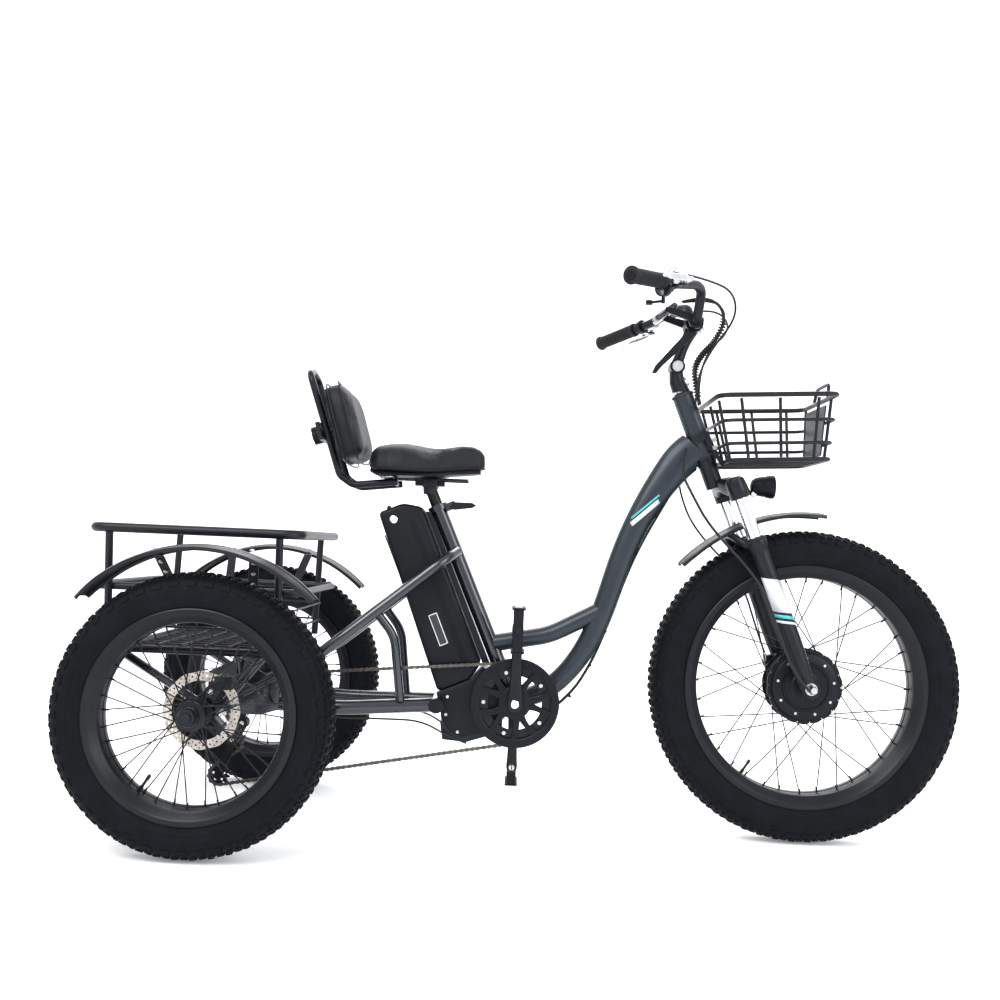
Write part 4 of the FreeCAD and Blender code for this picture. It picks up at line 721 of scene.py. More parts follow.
def build_chainring():
    """Guard disc with petal cut-outs, the toothed ring inside it and the bolts."""
    guard_y = CHAIN_Y - 0.0075
    bm = bmesh.new()
    for k in range(5):
        a = 2 * math.pi * k / 5 + math.radians(90)
        for side in (-1, 1):
            add_guard_arm(bm, guard_y, a, side)
    rim = [(0.08, guard_y - 0.0012), (0.083, guard_y - 0.003), (0.0975, guard_y - 0.003),
           (0.0995, guard_y - 0.0018), (0.0995, guard_y + 0.0018), (0.0975, guard_y + 0.0026),
           (0.083, guard_y + 0.0026), (0.08, guard_y + 0.0012)]
    add_turned(bm, on_middle(BB), Y, rim, 120)
    add_turned(bm, on_middle(BB), Y, [(0.015, guard_y - 0.003), (0.033, guard_y - 0.003),
                                                (0.036, guard_y - 0.0015), (0.036, guard_y + 0.002),
                                                (0.015, guard_y + 0.002)], 64)
    finish_piece("chain_guard", bm, "crankset", "plastic", ("chainring",), angle=30)
    bm = bmesh.new()
    big = ring_of_holes(0.071, 5, 0.0035, math.radians(54), 10) + [(0, 0, 0.0605, 64)]
    add_cog(bm, BB, CHAIN_Y, 0.0021, RING_TEETH, big, 0.003, math.pi / RING_TEETH)
    finish_piece("toothed_ring", bm, "crankset", "black_alloy", angle=30)
    bm = bmesh.new()
    add_ring_of_bolts(bm, BB, CHAIN_Y - 0.0112, CHAIN_Y - 0.0092, 0.07, 5, 0.0042, math.radians(54))
    finish_piece("ring_bolts", bm, "crankset", "steel", angle=30)


def build_cassette():
    """Sprockets on their core, and the two derailleur pulleys."""
    bm = bmesh.new()
    for i, teeth in enumerate(SPROCKETS):
        y = CHAIN_Y + (2 - i) * SPROCKET_GAP
        holes = [(0, 0, 0.0105, 24)]
        if teeth >= 24:
            holes += ring_of_holes(0.03, 6, 0.007, 0, 14)
        add_cog(bm, REAR_AXLE, y, 0.0019, teeth, holes, 0.0032, 0.3 * i)
    core = [(0.0105, CHAIN_Y - 0.024), (0.0165, CHAIN_Y - 0.024), (0.017, CHAIN_Y - 0.022),
            (0.017, CHAIN_Y + 0.016), (0.016, CHAIN_Y + 0.018), (0.0105, CHAIN_Y + 0.018)]
    add_turned(bm, on_middle(REAR_AXLE), Y, core, 40)
    finish_piece("sprocket_stack", bm, "cassette", "steel", ("cassette",), angle=30)
    for name, centre in (("guide_pulley", GUIDE), ("tension_pulley", TENSION)):
        bm = bmesh.new()
        holes = [(0, 0, 0.0044, 16)] + ring_of_holes(0.0125, 5, 0.0028)
        add_cog(bm, centre, CHAIN_Y, 0.0022, PULLEY_TEETH, holes, 0.0028)
        finish_piece(name + "_toothed", bm, name, "plastic", (name,), angle=30)


def build_derailleur():
    """Cage with waisted plates, the jointed body and its knuckles, screws and the hanger."""
    bm = bmesh.new()
    out, inn = CHAIN_Y - 0.006, CHAIN_Y + 0.006
    for y in (out, inn):
        tmp = []
        for c, r, a0, a1 in ((GUIDE, 0.0095, -0.2, math.pi + 0.1),
                             (TENSION, 0.01, math.pi - 0.1, 2 * math.pi + 0.2)):
            tmp += [(c.x + r * math.cos(a0 + (a1 - a0) * k / 10), c.z + r * math.sin(a0 + (a1 - a0) * k / 10))
                    for k in range(11)]
        add_loft(bm, [[Vector((x, y + dy, z)) for x, z in tmp] for dy in (-0.0009, 0.0009)])
    for c in (GUIDE, TENSION):
        add_bar(bm, (c.x, out, c.z), (c.x, inn, c.z), 0.0039, count=14)
        add_bar(bm, (c.x, out - 0.003, c.z), (c.x, out, c.z), 0.0046, 0.005, 14)
    finish_piece("derailleur_cage", bm, "frame", "black_alloy", ("derailleur",), angle=30)
    bm = bmesh.new()
    a = Vector((-0.664, -0.078, 0.188))
    b = Vector((-0.64, -0.094, 0.228))
    add_bar(bm, a + Y * 0.018, a - Y * 0.014, 0.0125, 0.0115, 24)
    add_bar(bm, b + Y * 0.01, b - Y * 0.014, 0.0125, 0.012, 24)
    for off in (-0.0085, 0.0085):
        add_bar(bm, a + Vector((off, -0.004, 0)), b + Vector((off, -0.004, 0)), 0.0048, 0.0044, 12)
    add_bar(bm, a - Y * 0.008, b - Y * 0.014, 0.0068, 0.0068, 12)
    add_box(bm, (-0.644, -0.1035, 0.248), (0.024, 0.006, 0.04), Matrix.Rotation(0.25, 4, "Y"))
    finish_piece("derailleur_body", bm, "frame", "black_alloy", bevel=0.0012)
    bm = bmesh.new()
    add_bar(bm, b - Y * 0.014, b - Y * 0.017, 0.0055, 0.005, 12)
    add_bar(bm, a - Y * 0.014, a - Y * 0.0165, 0.0048, 0.0044, 12)
    finish_piece("derailleur_bolts", bm, "frame", "steel")


def build_cranks():
    """Forged arms with a waist and rounded edges, self-locking bolts and the crank spindle."""
    bm = bmesh.new()
    for side, up in ((-1, 1), (1, -1)):
        y0, y1 = (-0.08, -0.066) if side < 0 else (0.066, 0.08)
        rings = []
        stations = ((-0.018, 0.008), (-0.014, 0.015), (-0.006, 0.0185), (0.004, 0.019), (0.016, 0.0165),
                    (0.04, 0.0135), (0.09, 0.0118), (0.135, 0.0112), (0.155, 0.0122), (0.166, 0.0135),
                    (0.176, 0.0125), (0.182, 0.007))
        for d, w in stations:
            z = BB.z + up * d
            ym, yt = (y0 + y1) / 2, (y1 - y0) / 2 - (0.0018 if 0.03 < d < 0.15 else 0)
            rings.append([Vector((BB.x + w * cx, ym + yt * cy, z)) for cx, cy in
                          ((-1, -0.45), (-0.72, -1), (0.72, -1), (1, -0.45), (1, 0.45), (0.72, 1), (-0.72, 1),
                           (-1, 0.45))])
        add_loft(bm, rings)
    arms = finish_piece("forged_arms", bm, "crankset", "black_alloy", ("crank_arms",),
                        angle=50)
    sub = arms.modifiers.new("round", "SUBSURF")
    sub.levels = 1
    sub.render_levels = 2
    bm = bmesh.new()
    c = on_middle(BB)
    add_bar(bm, c - Y * CRANK_AXLE_HALF, c + Y * CRANK_AXLE_HALF, 0.0085, count=24)
    add_turned(bm, c, Y, [(0.0085, -0.066), (0.015, -0.066), (0.015, -0.0625), (0.0085, -0.0625)], 32)
    add_turned(bm, c, Y, [(0.0085, 0.041), (0.0125, 0.041), (0.014, 0.065), (0.0085, 0.065)], 32)
    finish_piece("crank_spindle", bm, "crankset", "steel")
    bm = bmesh.new()
    for side in (-1, 1):
        prof = [(0.0, side * 0.08), (0.009, side * 0.08), (0.009, side * 0.0812), (0.0078, side * 0.0819),
                (0.0042, side * 0.0819), (0.0042, side * 0.0805), (0.0, side * 0.0805)]
        add_turned(bm, c, Y, prof, 24, closed=False)
    finish_piece("crank_bolts", bm, "crankset", "chrome", angle=30)


def build_pedals():
    """Platform pedals with a toothed cage, ribs, barrel, dust cap and reflectors."""
    for side, name in ((-1, "right"), (1, "left")):
        c = Vector(JOINTS[name + "_pedal_spin"]["pos_m"])
        c.y = 0
        body = name + "_pedal"
        inner, outer = 0.094, 0.178

        def at(x, y, z):
            return Vector((c.x + x, side * y, c.z + z))

        bm = bmesh.new()
        for z in (-1, 1):
            add_box(bm, at(0, (inner + outer) / 2, z * 0.0465), (0.026, outer - inner, 0.005))
            for k in range(9):
                y = inner + 0.006 + k * 0.009
                for x in (-1, 1):
                    add_box(bm, at(x * 0.0137, y, z * 0.0465), (0.0022, 0.0045, 0.005))
        for y in (inner + 0.003, outer - 0.003):
            add_box(bm, at(0, y, 0), (0.022, 0.006, 0.094))
        for z in (-0.022, 0.022):
            add_box(bm, at(0, (inner + outer) / 2, z), (0.016, outer - inner - 0.008, 0.0045))
        for y in (0.118, 0.136, 0.154):
            add_box(bm, at(0, y, 0), (0.014, 0.004, 0.09))
        finish_piece(name + "_pedal_cage", bm, body, "plastic", (name + "_pedal",), bevel=0.0009)
        bm = bmesh.new()
        add_bar(bm, at(0, 0.0835, 0), at(0, 0.0935, 0), 0.0068, 0.006, 20)
        add_turned(bm, Vector((c.x, 0, c.z)), Y, [(0.0, side * 0.0662), (0.0066, side * 0.0662),
                                                  (0.0066, side * 0.0835), (0.0, side * 0.0835)], 20,
                   closed=False)
        finish_piece(name + "_pedal_axle", bm, body, "steel")
        bm = bmesh.new()
        add_bar(bm, at(0, 0.094, 0), at(0, 0.177, 0), 0.011, 0.0098, 24)
        add_bar(bm, at(0, 0.177, 0), at(0, 0.1796, 0), 0.0082, 0.007, 24)
        finish_piece(name + "_pedal_barrel", bm, body, "black_alloy")
        bm = bmesh.new()
        for z in (-1, 1):
            add_box(bm, at(0, 0.136, z * 0.0493), (0.015, 0.052, 0.0012))
        finish_piece(name + "_pedal_reflectors", bm, body, "amber", bevel=0.0003)


def build_drive():
    """Everything that the chain meets, from pedals to sprockets."""
    build_chain()
    build_chainring()
    build_cassette()
    build_derailleur()
    build_cranks()
    build_pedals()


# ---------------------------------------------------------------- seat

def grid_lofted(bm, stations, count):
    """Closed skin through sections given as functions of an angle."""
    rings = [[Vector(f(2 * math.pi * k / count)) for k in range(count)] for f in stations]
    return add_loft(bm, rings)


SADDLE = [  # x, half width, low z, high z of the crown, dip in the middle
    (-0.396, 0.046, 0.812, 0.836, 0.000), (-0.391, 0.078, 0.798, 0.852, 0.001),
          (-0.376, 0.101, 0.791, 0.863, 0.002),
    (-0.345, 0.113, 0.79, 0.8685, 0.004), (-0.315, 0.111, 0.79, 0.869, 0.0045),
          (-0.285, 0.099, 0.791, 0.865, 0.004),
    (-0.258, 0.078, 0.793, 0.86, 0.002), (-0.235, 0.059, 0.796, 0.8595, 0.001),
          (-0.21, 0.046, 0.8, 0.864, 0.0),
    (-0.185, 0.039, 0.802, 0.869, 0.0), (-0.162, 0.033, 0.804, 0.868, 0.0), (-0.144, 0.027, 0.806, 0.86, 0.0),
    (-0.134, 0.017, 0.812, 0.847, 0.0),
]


def saddle_section(x, half, low, high, dip):
    """Section of the saddle: crowned top, near-upright skirt, flat underside."""
    def point(t):
        c, sn = math.cos(t), math.sin(t)
        y = half * squared(c, 0.52)
        mid = low + (high - low) * 0.16
        if sn >= 0:
            z = mid + (high - mid) * sn ** 0.86 - dip * max(0.0, 1 - abs(y) / half) * sn
            y *= 1 - 0.07 * sn
        else:
            z = mid - (mid - low) * (-sn) ** 0.5
            y *= 1 - 0.07 * (-sn)
        return (x, y, z)
    return point


def swell(obj, cap, frames=20, voxel=0.005, pressure=4.0, hold=None):
    """Voxel remesh, inflate with cloth, cap how far each point moves, and keep the result as mesh."""
    bpy.context.view_layer.objects.active = obj
    mod = obj.modifiers.new("remesh", "REMESH")
    mod.mode = "VOXEL"
    mod.voxel_size = voxel
    depsgraph = bpy.context.evaluated_depsgraph_get()
    mesh = bpy.data.meshes.new_from_object(obj.evaluated_get(depsgraph))
    obj.modifiers.clear()
    mats = list(obj.data.materials)
    obj.data = mesh
    mesh.materials.clear()
    for m in mats:
        mesh.materials.append(m)
    rest = [v.co.copy() for v in mesh.vertices]
    if hold:
        pins = obj.vertex_groups.new(name="pin")
        for v in mesh.vertices:
            pins.add([v.index], hold(v.co), "REPLACE")
    cloth = obj.modifiers.new("cloth", "CLOTH")
    cloth.settings.use_pressure = True
    cloth.settings.uniform_pressure_force = pressure
    cloth.settings.quality = 4
    cloth.settings.tension_stiffness = 18
    cloth.settings.compression_stiffness = 18
    cloth.settings.effector_weights.gravity = 0
    if hold:
        cloth.settings.vertex_group_mass = "pin"
    cloth.point_cache.frame_start = 1
    cloth.point_cache.frame_end = frames
    for f in range(1, frames + 1):
        bpy.context.scene.frame_set(f)
    depsgraph = bpy.context.evaluated_depsgraph_get()
    moved = bpy.data.meshes.new_from_object(obj.evaluated_get(depsgraph))
    obj.modifiers.clear()
    for v, w, p in zip(mesh.vertices, moved.vertices, rest):
        step = w.co - p
        if step.length > cap:
            step *= cap / step.length
        v.co = p + step
    bpy.data.meshes.remove(moved)
    bpy.context.scene.frame_set(1)
    smooth = obj.modifiers.new("relax", "SMOOTH")
    smooth.factor = 0.5
    smooth.iterations = 5
    sub = obj.modifiers.new("fine", "SUBSURF")
    sub.levels = 1
    sub.render_levels = 1
    obj.data.shade_smooth()


def piping(name, points, radius, body, mat="vinyl"):
    """Round welt along a closed line."""
    bm = bmesh.new()
    pts = [Vector(p) for p in points]
    rings = []
    count = len(pts)
    for i, p in enumerate(pts):
        t = (pts[(i + 1) % count] - pts[i - 1]).normalized()
        u = t.cross(Vector((0.31, 0.17, 0.93))).normalized()
        rings.append(ellipse(p, u, t.cross(u), radius, radius, 8))
    add_loft(bm, rings, closed=True)
    return finish_piece(name, bm, body, mat)


def build_saddle():
    """Padded cover with its seam, pan, springs and clamp head."""
    bm = bmesh.new()
    shrink = 0.004
    stations = [saddle_section(x, w - shrink, lo + 0.002, hi - shrink, dip) for x, w, lo, hi, dip in SADDLE]
    grid_lofted(bm, stations, 40)
    cover = finish_piece("saddle_cover", bm, "seat", "vinyl", ("saddle",))
    swell(cover, 0.004, voxel=0.0045, hold=lambda p: 1.0 if p.z < 0.803 else 0.0)
    line = []
    for x, w, lo, hi, dip in SADDLE:
        line.append((x, w * 1.005, lo + (hi - lo) * 0.15))
    other = [(x, -y, z) for x, y, z in reversed(line)]
    pts = spline_points(line + other + [line[0]])
    piping("saddle_seam", pts[:-1], 0.0013, "seat")
    bm = bmesh.new()
    base = [saddle_section(x, (w - 0.004) * 0.97, lo - 0.004, lo + 0.012, 0) for x, w, lo, hi,
            dip in SADDLE[1:-1]]
    grid_lofted(bm, base, 40)
    finish_piece("saddle_pan", bm, "seat", "plastic", angle=60)
    bm = bmesh.new()
    for side in (-1, 1):
        coil_c = Vector((-0.352, side * 0.052, 0.0))
        turns = 4
        pts = [Vector((coil_c.x + 0.0135 * math.cos(a), coil_c.y + 0.0135 * math.sin(a),
                       0.7815 + 0.02 * a / (2 * math.pi * turns)))
               for a in (2 * math.pi * k / 14 for k in range(14 * turns + 1))]
        add_tube(bm, pts, 0.0021, 8)
    finish_piece("saddle_springs", bm, "seat", "steel")
    bm = bmesh.new()
    add_turned(bm, Vector((-0.259, 0, 0)), (0, 0, 1),
               [(0.0, 0.752), (0.015, 0.752), (0.016, 0.756), (0.0175, 0.77),
                                                        (0.018, 0.7735), (0.0, 0.7735)], 36, closed=False)
    for side in (-1, 1):
        add_box(bm, (-0.259, side * 0.024, 0.7765), (0.034, 0.01, 0.018))
    add_bar(bm, (-0.259, -0.036, 0.7765), (-0.259, 0.036, 0.7765), 0.0048, count=6)
    finish_piece("seat_clamp_head", bm, "seat", "black_steel", bevel=0.0015, angle=40)


def pad_point(u, v, w):
    """Backrest frame: u across, v up the pad, w out of its front."""
    low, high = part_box("backrest_pad")
    centre = (low + high) / 2
    lean = math.radians(-17)
    up = Vector((math.sin(lean), 0, math.cos(lean)))
    out = Vector((math.cos(lean), 0, -math.sin(lean)))
    return centre + Y * u + up * v + out * w


def build_backrest():
    """Pad with a crowned front, a boxed side, two welts and a moulded back shell."""
    half_w, half_h, back, front = 0.121, 0.091, -0.024, 0.016
    bm = bmesh.new()
    rings = []
    levels = [(back, 0.93), (back + 0.003, 0.975), (back + 0.012, 0.995), (0.0, 1.0), (front - 0.01, 0.99),
              (front - 0.002, 0.95), (front + 0.003, 0.86), (front + 0.007, 0.66), (front + 0.009, 0.35)]
    count = 56
    for w, k in levels:
        ring = []
        for i in range(count):
            a = 2 * math.pi * i / count
            c, s = math.cos(a), math.sin(a)
            e = 0.42
            u = half_w * k * squared(c, e)
            v = half_h * k * squared(s, e)
            u *= 1.0 - 0.1 * max(0.0, v / half_h) ** 2
            curve = 0.01 * (u / half_w) ** 2
            ring.append(pad_point(u, v, w + curve * (1.0 if w > 0 else 0.4)))
        rings.append(ring)
    add_loft(bm, rings)
    pad = finish_piece("backrest_cushion", bm, "backrest", "vinyl", ("backrest_pad",))
    swell(pad, 0.006, voxel=0.005)
    for n, (w, k) in enumerate(((0.0075, 1.012), (-0.0165, 1.012))):
        line = []
        for i in range(72):
            a = 2 * math.pi * i / 72
            c, s = math.cos(a), math.sin(a)
            u = (half_w * k + 0.0016) * squared(c, 0.42)
            v = (half_h * k + 0.0016) * squared(s, 0.42)
            u *= 1.0 - 0.1 * max(0.0, v / half_h) ** 2
            line.append(pad_point(u, v, w + 0.01 * (u / half_w) ** 2 * (1.0 if w > 0 else 0.4)))
        piping("backrest_welt_%d" % n, line, 0.0019, "backrest")
    bm = bmesh.new()
    rings = []
    for w, k in ((back - 0.0015, 0.8), (back - 0.0015, 0.93), (back + 0.003, 0.955), (back + 0.004, 0.9)):
        ring = []
        for i in range(48):
            a = 2 * math.pi * i / 48
            c, s = math.cos(a), math.sin(a)
            u = half_w * k * squared(c, 0.5)
            v = half_h * k * squared(s, 0.5)
            ring.append(pad_point(u, v, w + 0.004 * (u / half_w) ** 2))
        rings.append(ring)
    add_loft(bm, rings)
    finish_piece("backrest_shell", bm, "backrest", "plastic", angle=50)
    node_material("backrest_slide", "black_steel")
    node_material("backrest_knob", "plastic")
    node_material("backrest_tube", "black_alloy")
    node_material("seat_post", "black_alloy")
    node_material("seat_clamp_lever", "black_alloy")


# ---------------------------------------------------------------- stage and camera

def build_stage():
    """Pale floor that curves up behind the object."""
    mat = surface("pale_floor", (0.93, 0.93, 0.93), 0.8, 0, 0.01, 1.2, 0.04)
    glow = mat.node_tree.nodes["Principled BSDF"]
    glow.inputs["Emission Color"].default_value = (1, 1, 1, 1)
    glow.inputs["Emission Strength"].default_value = 0.16
    bpy.context.scene.view_settings.view_transform = "Standard"
    bm = bmesh.new()
    depth = [(-3.2, 0.0), (2.2, 0.0), (2.9, 0.12), (3.3, 0.55), (3.4, 1.3), (3.4, 5.0)]
    rows = [[Vector((x, y, z)) for x in (-6.0, 6.0)] for y, z in depth]
    verts = [[bm.verts.new(p) for p in row] for row in rows]
    for a, b in zip(verts, verts[1:]):
        bm.faces.new((a[0], a[1], b[1], b[0]))
    mesh = bpy.data.meshes.new("floor")
    bm.to_mesh(mesh)
    bm.free()
    mesh.shade_smooth()
    mesh.materials.append(mat)
    floor = bpy.data.objects.new("floor", mesh)
    bpy.context.collection.objects.link(floor)


def add_light(name, place, target, size, power, colour=(1, 1, 1)):
    """Soft rectangular light aimed at a target."""
    data = bpy.data.lights.new(name, "AREA")
    data.shape = "RECTANGLE"
    data.size, data.size_y = size
    data.energy = power
    data.color = colour
    obj = bpy.data.objects.new(name, data)
    bpy.context.collection.objects.link(obj)
    obj.location = place
    obj.rotation_euler = (Vector(target) - Vector(place)).to_track_quat("-Z", "Y").to_euler()


def build_lights():
    """Even sky with a key, a fill and a back light."""
    world = bpy.data.worlds.new("world")
    bpy.context.scene.world = world
    world.use_nodes = True
    background = world.node_tree.nodes["Background"]
    background.inputs["Color"].default_value = (0.95, 0.97, 1.0, 1)
    background.inputs["Strength"].default_value = 1.15
    add_light("key", (-1.6, -2.6, 3.2), (0, 0, 0.5), (2.6, 1.8), 110)
    add_light("fill", (2.8, -2.2, 1.8), (0.2, 0, 0.5), (2.0, 2.2), 60, (0.93, 0.96, 1.0))
    add_light("back", (0.2, 2.4, 3.2), (0, 0, 0.5), (3.4, 1.4), 80)


def build_camera():
    """Camera 2.36 m to the right at 0.64 m height, aimed slightly up and rolled a little."""
    yaw, pitch, roll = math.radians(-0.78), math.radians(2.5), math.radians(2.45)
    forward = Vector((math.sin(yaw) * math.cos(pitch), math.cos(yaw) * math.cos(pitch), math.sin(pitch)))
    right = Vector((math.cos(yaw), -math.sin(yaw), 0.0))
    up = right.cross(forward)
    r = right * math.cos(roll) + up * math.sin(roll)
    u = up * math.cos(roll) - right * math.sin(roll)
    data = bpy.data.cameras.new("camera")
    data.sensor_width = 36.0
    data.lens = 36.8
    cam = bpy.data.objects.new("camera", data)
    bpy.context.collection.objects.link(cam)
    rot = Matrix((r, u, -forward)).transposed().to_4x4()
    cam.matrix_world = Matrix.Translation((-0.0649, -2.3613, 0.643)) @ rot
    bpy.context.scene.camera = cam


# ---------------------------------------------------------------- fork and bars

STEER = JOINTS["steer"]
STEER_BASE = Vector(STEER["pos_m"])
STEER_UP = Vector(STEER["axis"]).normalized()
STEER_FRONT = Vector((STEER_UP.z, 0, -STEER_UP.x))
FORK_OFFSET = 0.028
LEG_Y = 0.082


def steer(s, n, y=0.0):
    """Point s up the steering axis from the lower end of the head tube, n ahead of it."""
    return STEER_BASE + STEER_UP * s + STEER_FRONT * n + Y * y


def build_fork():
    """Crown, chrome stanchions, lower legs with seals, arch, dropouts, caps and a printed band."""
    bm = bmesh.new()
    for side in (-1, 1):
        top = steer(-0.0665, FORK_OFFSET, side * LEG_Y)
        add_turned(bm, steer(0, FORK_OFFSET, side * LEG_Y), STEER_UP,
                   [(0.0162, -0.1115), (0.0205, -0.1115), (0.0218, -0.1095), (0.0218, -0.072),
                    (0.0205, -0.0675),
                    (0.015, -0.0662), (0.0, -0.0662), (0.0, -0.075), (0.0162, -0.075)], 40, closed=False)
        add_turned(bm, top, STEER_UP,
                   [(0.0, 0.0), (0.0135, 0.0), (0.0128, 0.0035), (0.006, 0.005), (0.0, 0.005)],
                   32, closed=False)
    beam = []
    for y, low, high, rear, ahead in ((-0.08, -0.103, -0.07, 0.012, 0.046),
                                      (-0.055, -0.098, -0.062, 0.002, 0.043),
                                      (-0.025, -0.087, -0.057, -0.002, 0.039),
                                      (0.0, -0.084, -0.056, -0.004, 0.038),
                                      (0.025, -0.087, -0.057, -0.002, 0.039),
                                      (0.055, -0.098, -0.062, 0.002, 0.043),
                                      (0.08, -0.103, -0.07, 0.012, 0.046)):
        mid_s, mid_n = (low + high) / 2, (rear + ahead) / 2
        hs, hn = (high - low) / 2, (ahead - rear) / 2
        beam.append([steer(mid_s + hs * squared(math.sin(a), 0.6),
                           mid_n + hn * squared(math.cos(a), 0.6), y)
                     for a in angles(20)])
    add_loft(bm, beam)
    add_turned(bm, STEER_BASE, STEER_UP, [(0.0, -0.072), (0.0205, -0.072), (0.0205, -0.02), (0.0235, -0.0105),
                                          (0.0235, -0.008), (0.0, -0.008)], 40, closed=False)
    finish_piece("fork_crown", bm, "steering", "black_alloy", ("fork_upper",), angle=40)
    bm = bmesh.new()
    for side in (-1, 1):
        add_turned(bm, steer(0, FORK_OFFSET, side * LEG_Y), STEER_UP,
                   [(0.0, -0.378), (0.016, -0.378), (0.016, -0.074), (0.0, -0.074)], 48, closed=False)
    finish_piece("stanchions", bm, "steering", "chrome", angle=40)
    bm = bmesh.new()
    add_bar(bm, steer(-0.008, 0), steer(0.179, 0), 0.0141, count=32)
    finish_piece("steerer", bm, "steering", "steel")
    build_lower_legs()


def build_lower_legs():
    """Sliding legs with arch, seals, axle nuts and printed bands."""
    bm = bmesh.new()
    for side in (-1, 1):
        axis = steer(0, FORK_OFFSET, side * LEG_Y)
        prof = [(0.0161, -0.2085), (0.0225, -0.2085), (0.024, -0.2105), (0.024, -0.226), (0.0222, -0.23),
                (0.0214, -0.242), (0.0214, -0.45), (0.0205, -0.5), (0.0185, -0.53), (0.015, -0.544),
                (0.0, -0.545), (0.0, -0.39), (0.0161, -0.39)]
        add_turned(bm, axis, STEER_UP, prof, 48)
        y0, y1 = sorted((side * 0.0665, side * 0.0735))
        outline = [(-0.505, 0.012), (-0.505, 0.044), (-0.545, 0.053), (-0.572, 0.055), (-0.583, 0.045),
                   (-0.583, 0.027), (-0.572, 0.018), (-0.545, 0.012)]
        add_loft(bm, [[steer(s, n, y) for s, n in outline] for y in (y0, y1)])
    finish_piece("lower_legs", bm, "fork_lower", "black_alloy", ("fork_lowers",), bevel=0.001)
    bm = bmesh.new()
    pts = spline_points([steer(-0.222, 0.012, -LEG_Y + 0.006), steer(-0.204, 0.000, -LEG_Y + 0.012),
                         steer(-0.184, -0.012, -0.045), steer(-0.179, -0.015, 0.0),
                         steer(-0.184, -0.012, 0.045),
                         steer(-0.204, 0.000, LEG_Y - 0.012), steer(-0.222, 0.012, LEG_Y - 0.006)])
    add_tube(bm, pts, 0.0085, 16)
    finish_piece("fork_arch", bm, "fork_lower", "black_alloy")
    bm = bmesh.new()
    for side in (-1, 1):
        add_turned(bm, steer(0, FORK_OFFSET, side * LEG_Y), STEER_UP,
                   [(0.0162, -0.2085), (0.0205, -0.2085), (0.02, -0.2045), (0.0175, -0.203),
                    (0.0162, -0.203)], 40)
    finish_piece("dust_seals", bm, "fork_lower", "rubber")
    bm = bmesh.new()
    c = on_middle(FRONT_AXLE)
    add_bar(bm, c - Y * 0.097, c + Y * 0.097, 0.0069, count=20)
    for side in (-1, 1):
        add_turned(bm, c, Y, [(0.007, side * 0.0738), (0.0135, side * 0.0738), (0.0135, side * 0.0752),
                              (0.007, side * 0.0752)], 32)
        add_bar(bm, c + Y * (side * 0.0752), c + Y * (side * 0.086), 0.0118, 0.0114, 6)
        add_bar(bm, c + Y * (side * 0.086), c + Y * (side * 0.0975), 0.01, 0.007, 20)
    finish_piece("front_axle_nuts", bm, "fork_lower", "steel", angle=30)
    for side in (-1, 1):
        for n, (s0, s1, mat) in enumerate(((-0.3, -0.378, "label"), (-0.384, -0.392, "teal"),
                                           (-0.398, -0.404, "label"))):
            bm = bmesh.new()
            rows = []
            for k in range(9):
                a = side * math.radians(90 + (k - 4) * 15)
                slant = 0.01 * (k - 4) / 4
                rows.append([steer(s + slant, FORK_OFFSET + 0.0217 * math.cos(a),
                                   side * LEG_Y + 0.0217 * math.sin(a))
                             for s in (s0, s1)])
            verts = [[bm.verts.new(p) for p in row] for row in rows]
            for a, b in zip(verts, verts[1:]):
                bm.faces.new((a[0], a[1], b[1], b[0]))
            piece = finish_piece("fork_band_%d_%d" % (n, side + 1), bm, "fork_lower", mat)
            solid = piece.modifiers.new("thick", "SOLIDIFY")
            solid.thickness = 0.0003
            solid.offset = 0


def fender_strip(bm, centre, y, radius, half, a0, a1, steps=48):
    """Curved blade with a crowned section, a centre bead and rolled edges."""
    section = [(-1.0, -0.009), (-0.97, -0.0035), (-0.8, -0.0008), (-0.4, 0.0), (-0.16, 0.0006),
               (-0.08, 0.0026),
               (0.08, 0.0026), (0.16, 0.0006), (0.4, 0.0), (0.8, -0.0008), (0.97, -0.0035), (1.0, -0.009)]
    rings = []
    for k in range(steps + 1):
        t = k / steps
        a = a0 + (a1 - a0) * t
        taper = min(1.0, 0.72 + 2.6 * min(t, 1 - t))
        ring = []
        for thick in (0.0, -0.0018):
            row = [(radius - 0.003 + h + thick, y + half * w * taper) for w, h in section]
            ring += row if thick == 0.0 else list(reversed(row))
        rings.append([Vector((centre.x + r * math.cos(a), yy, centre.z + r * math.sin(a))) for r, yy in ring])
    add_loft(bm, rings)


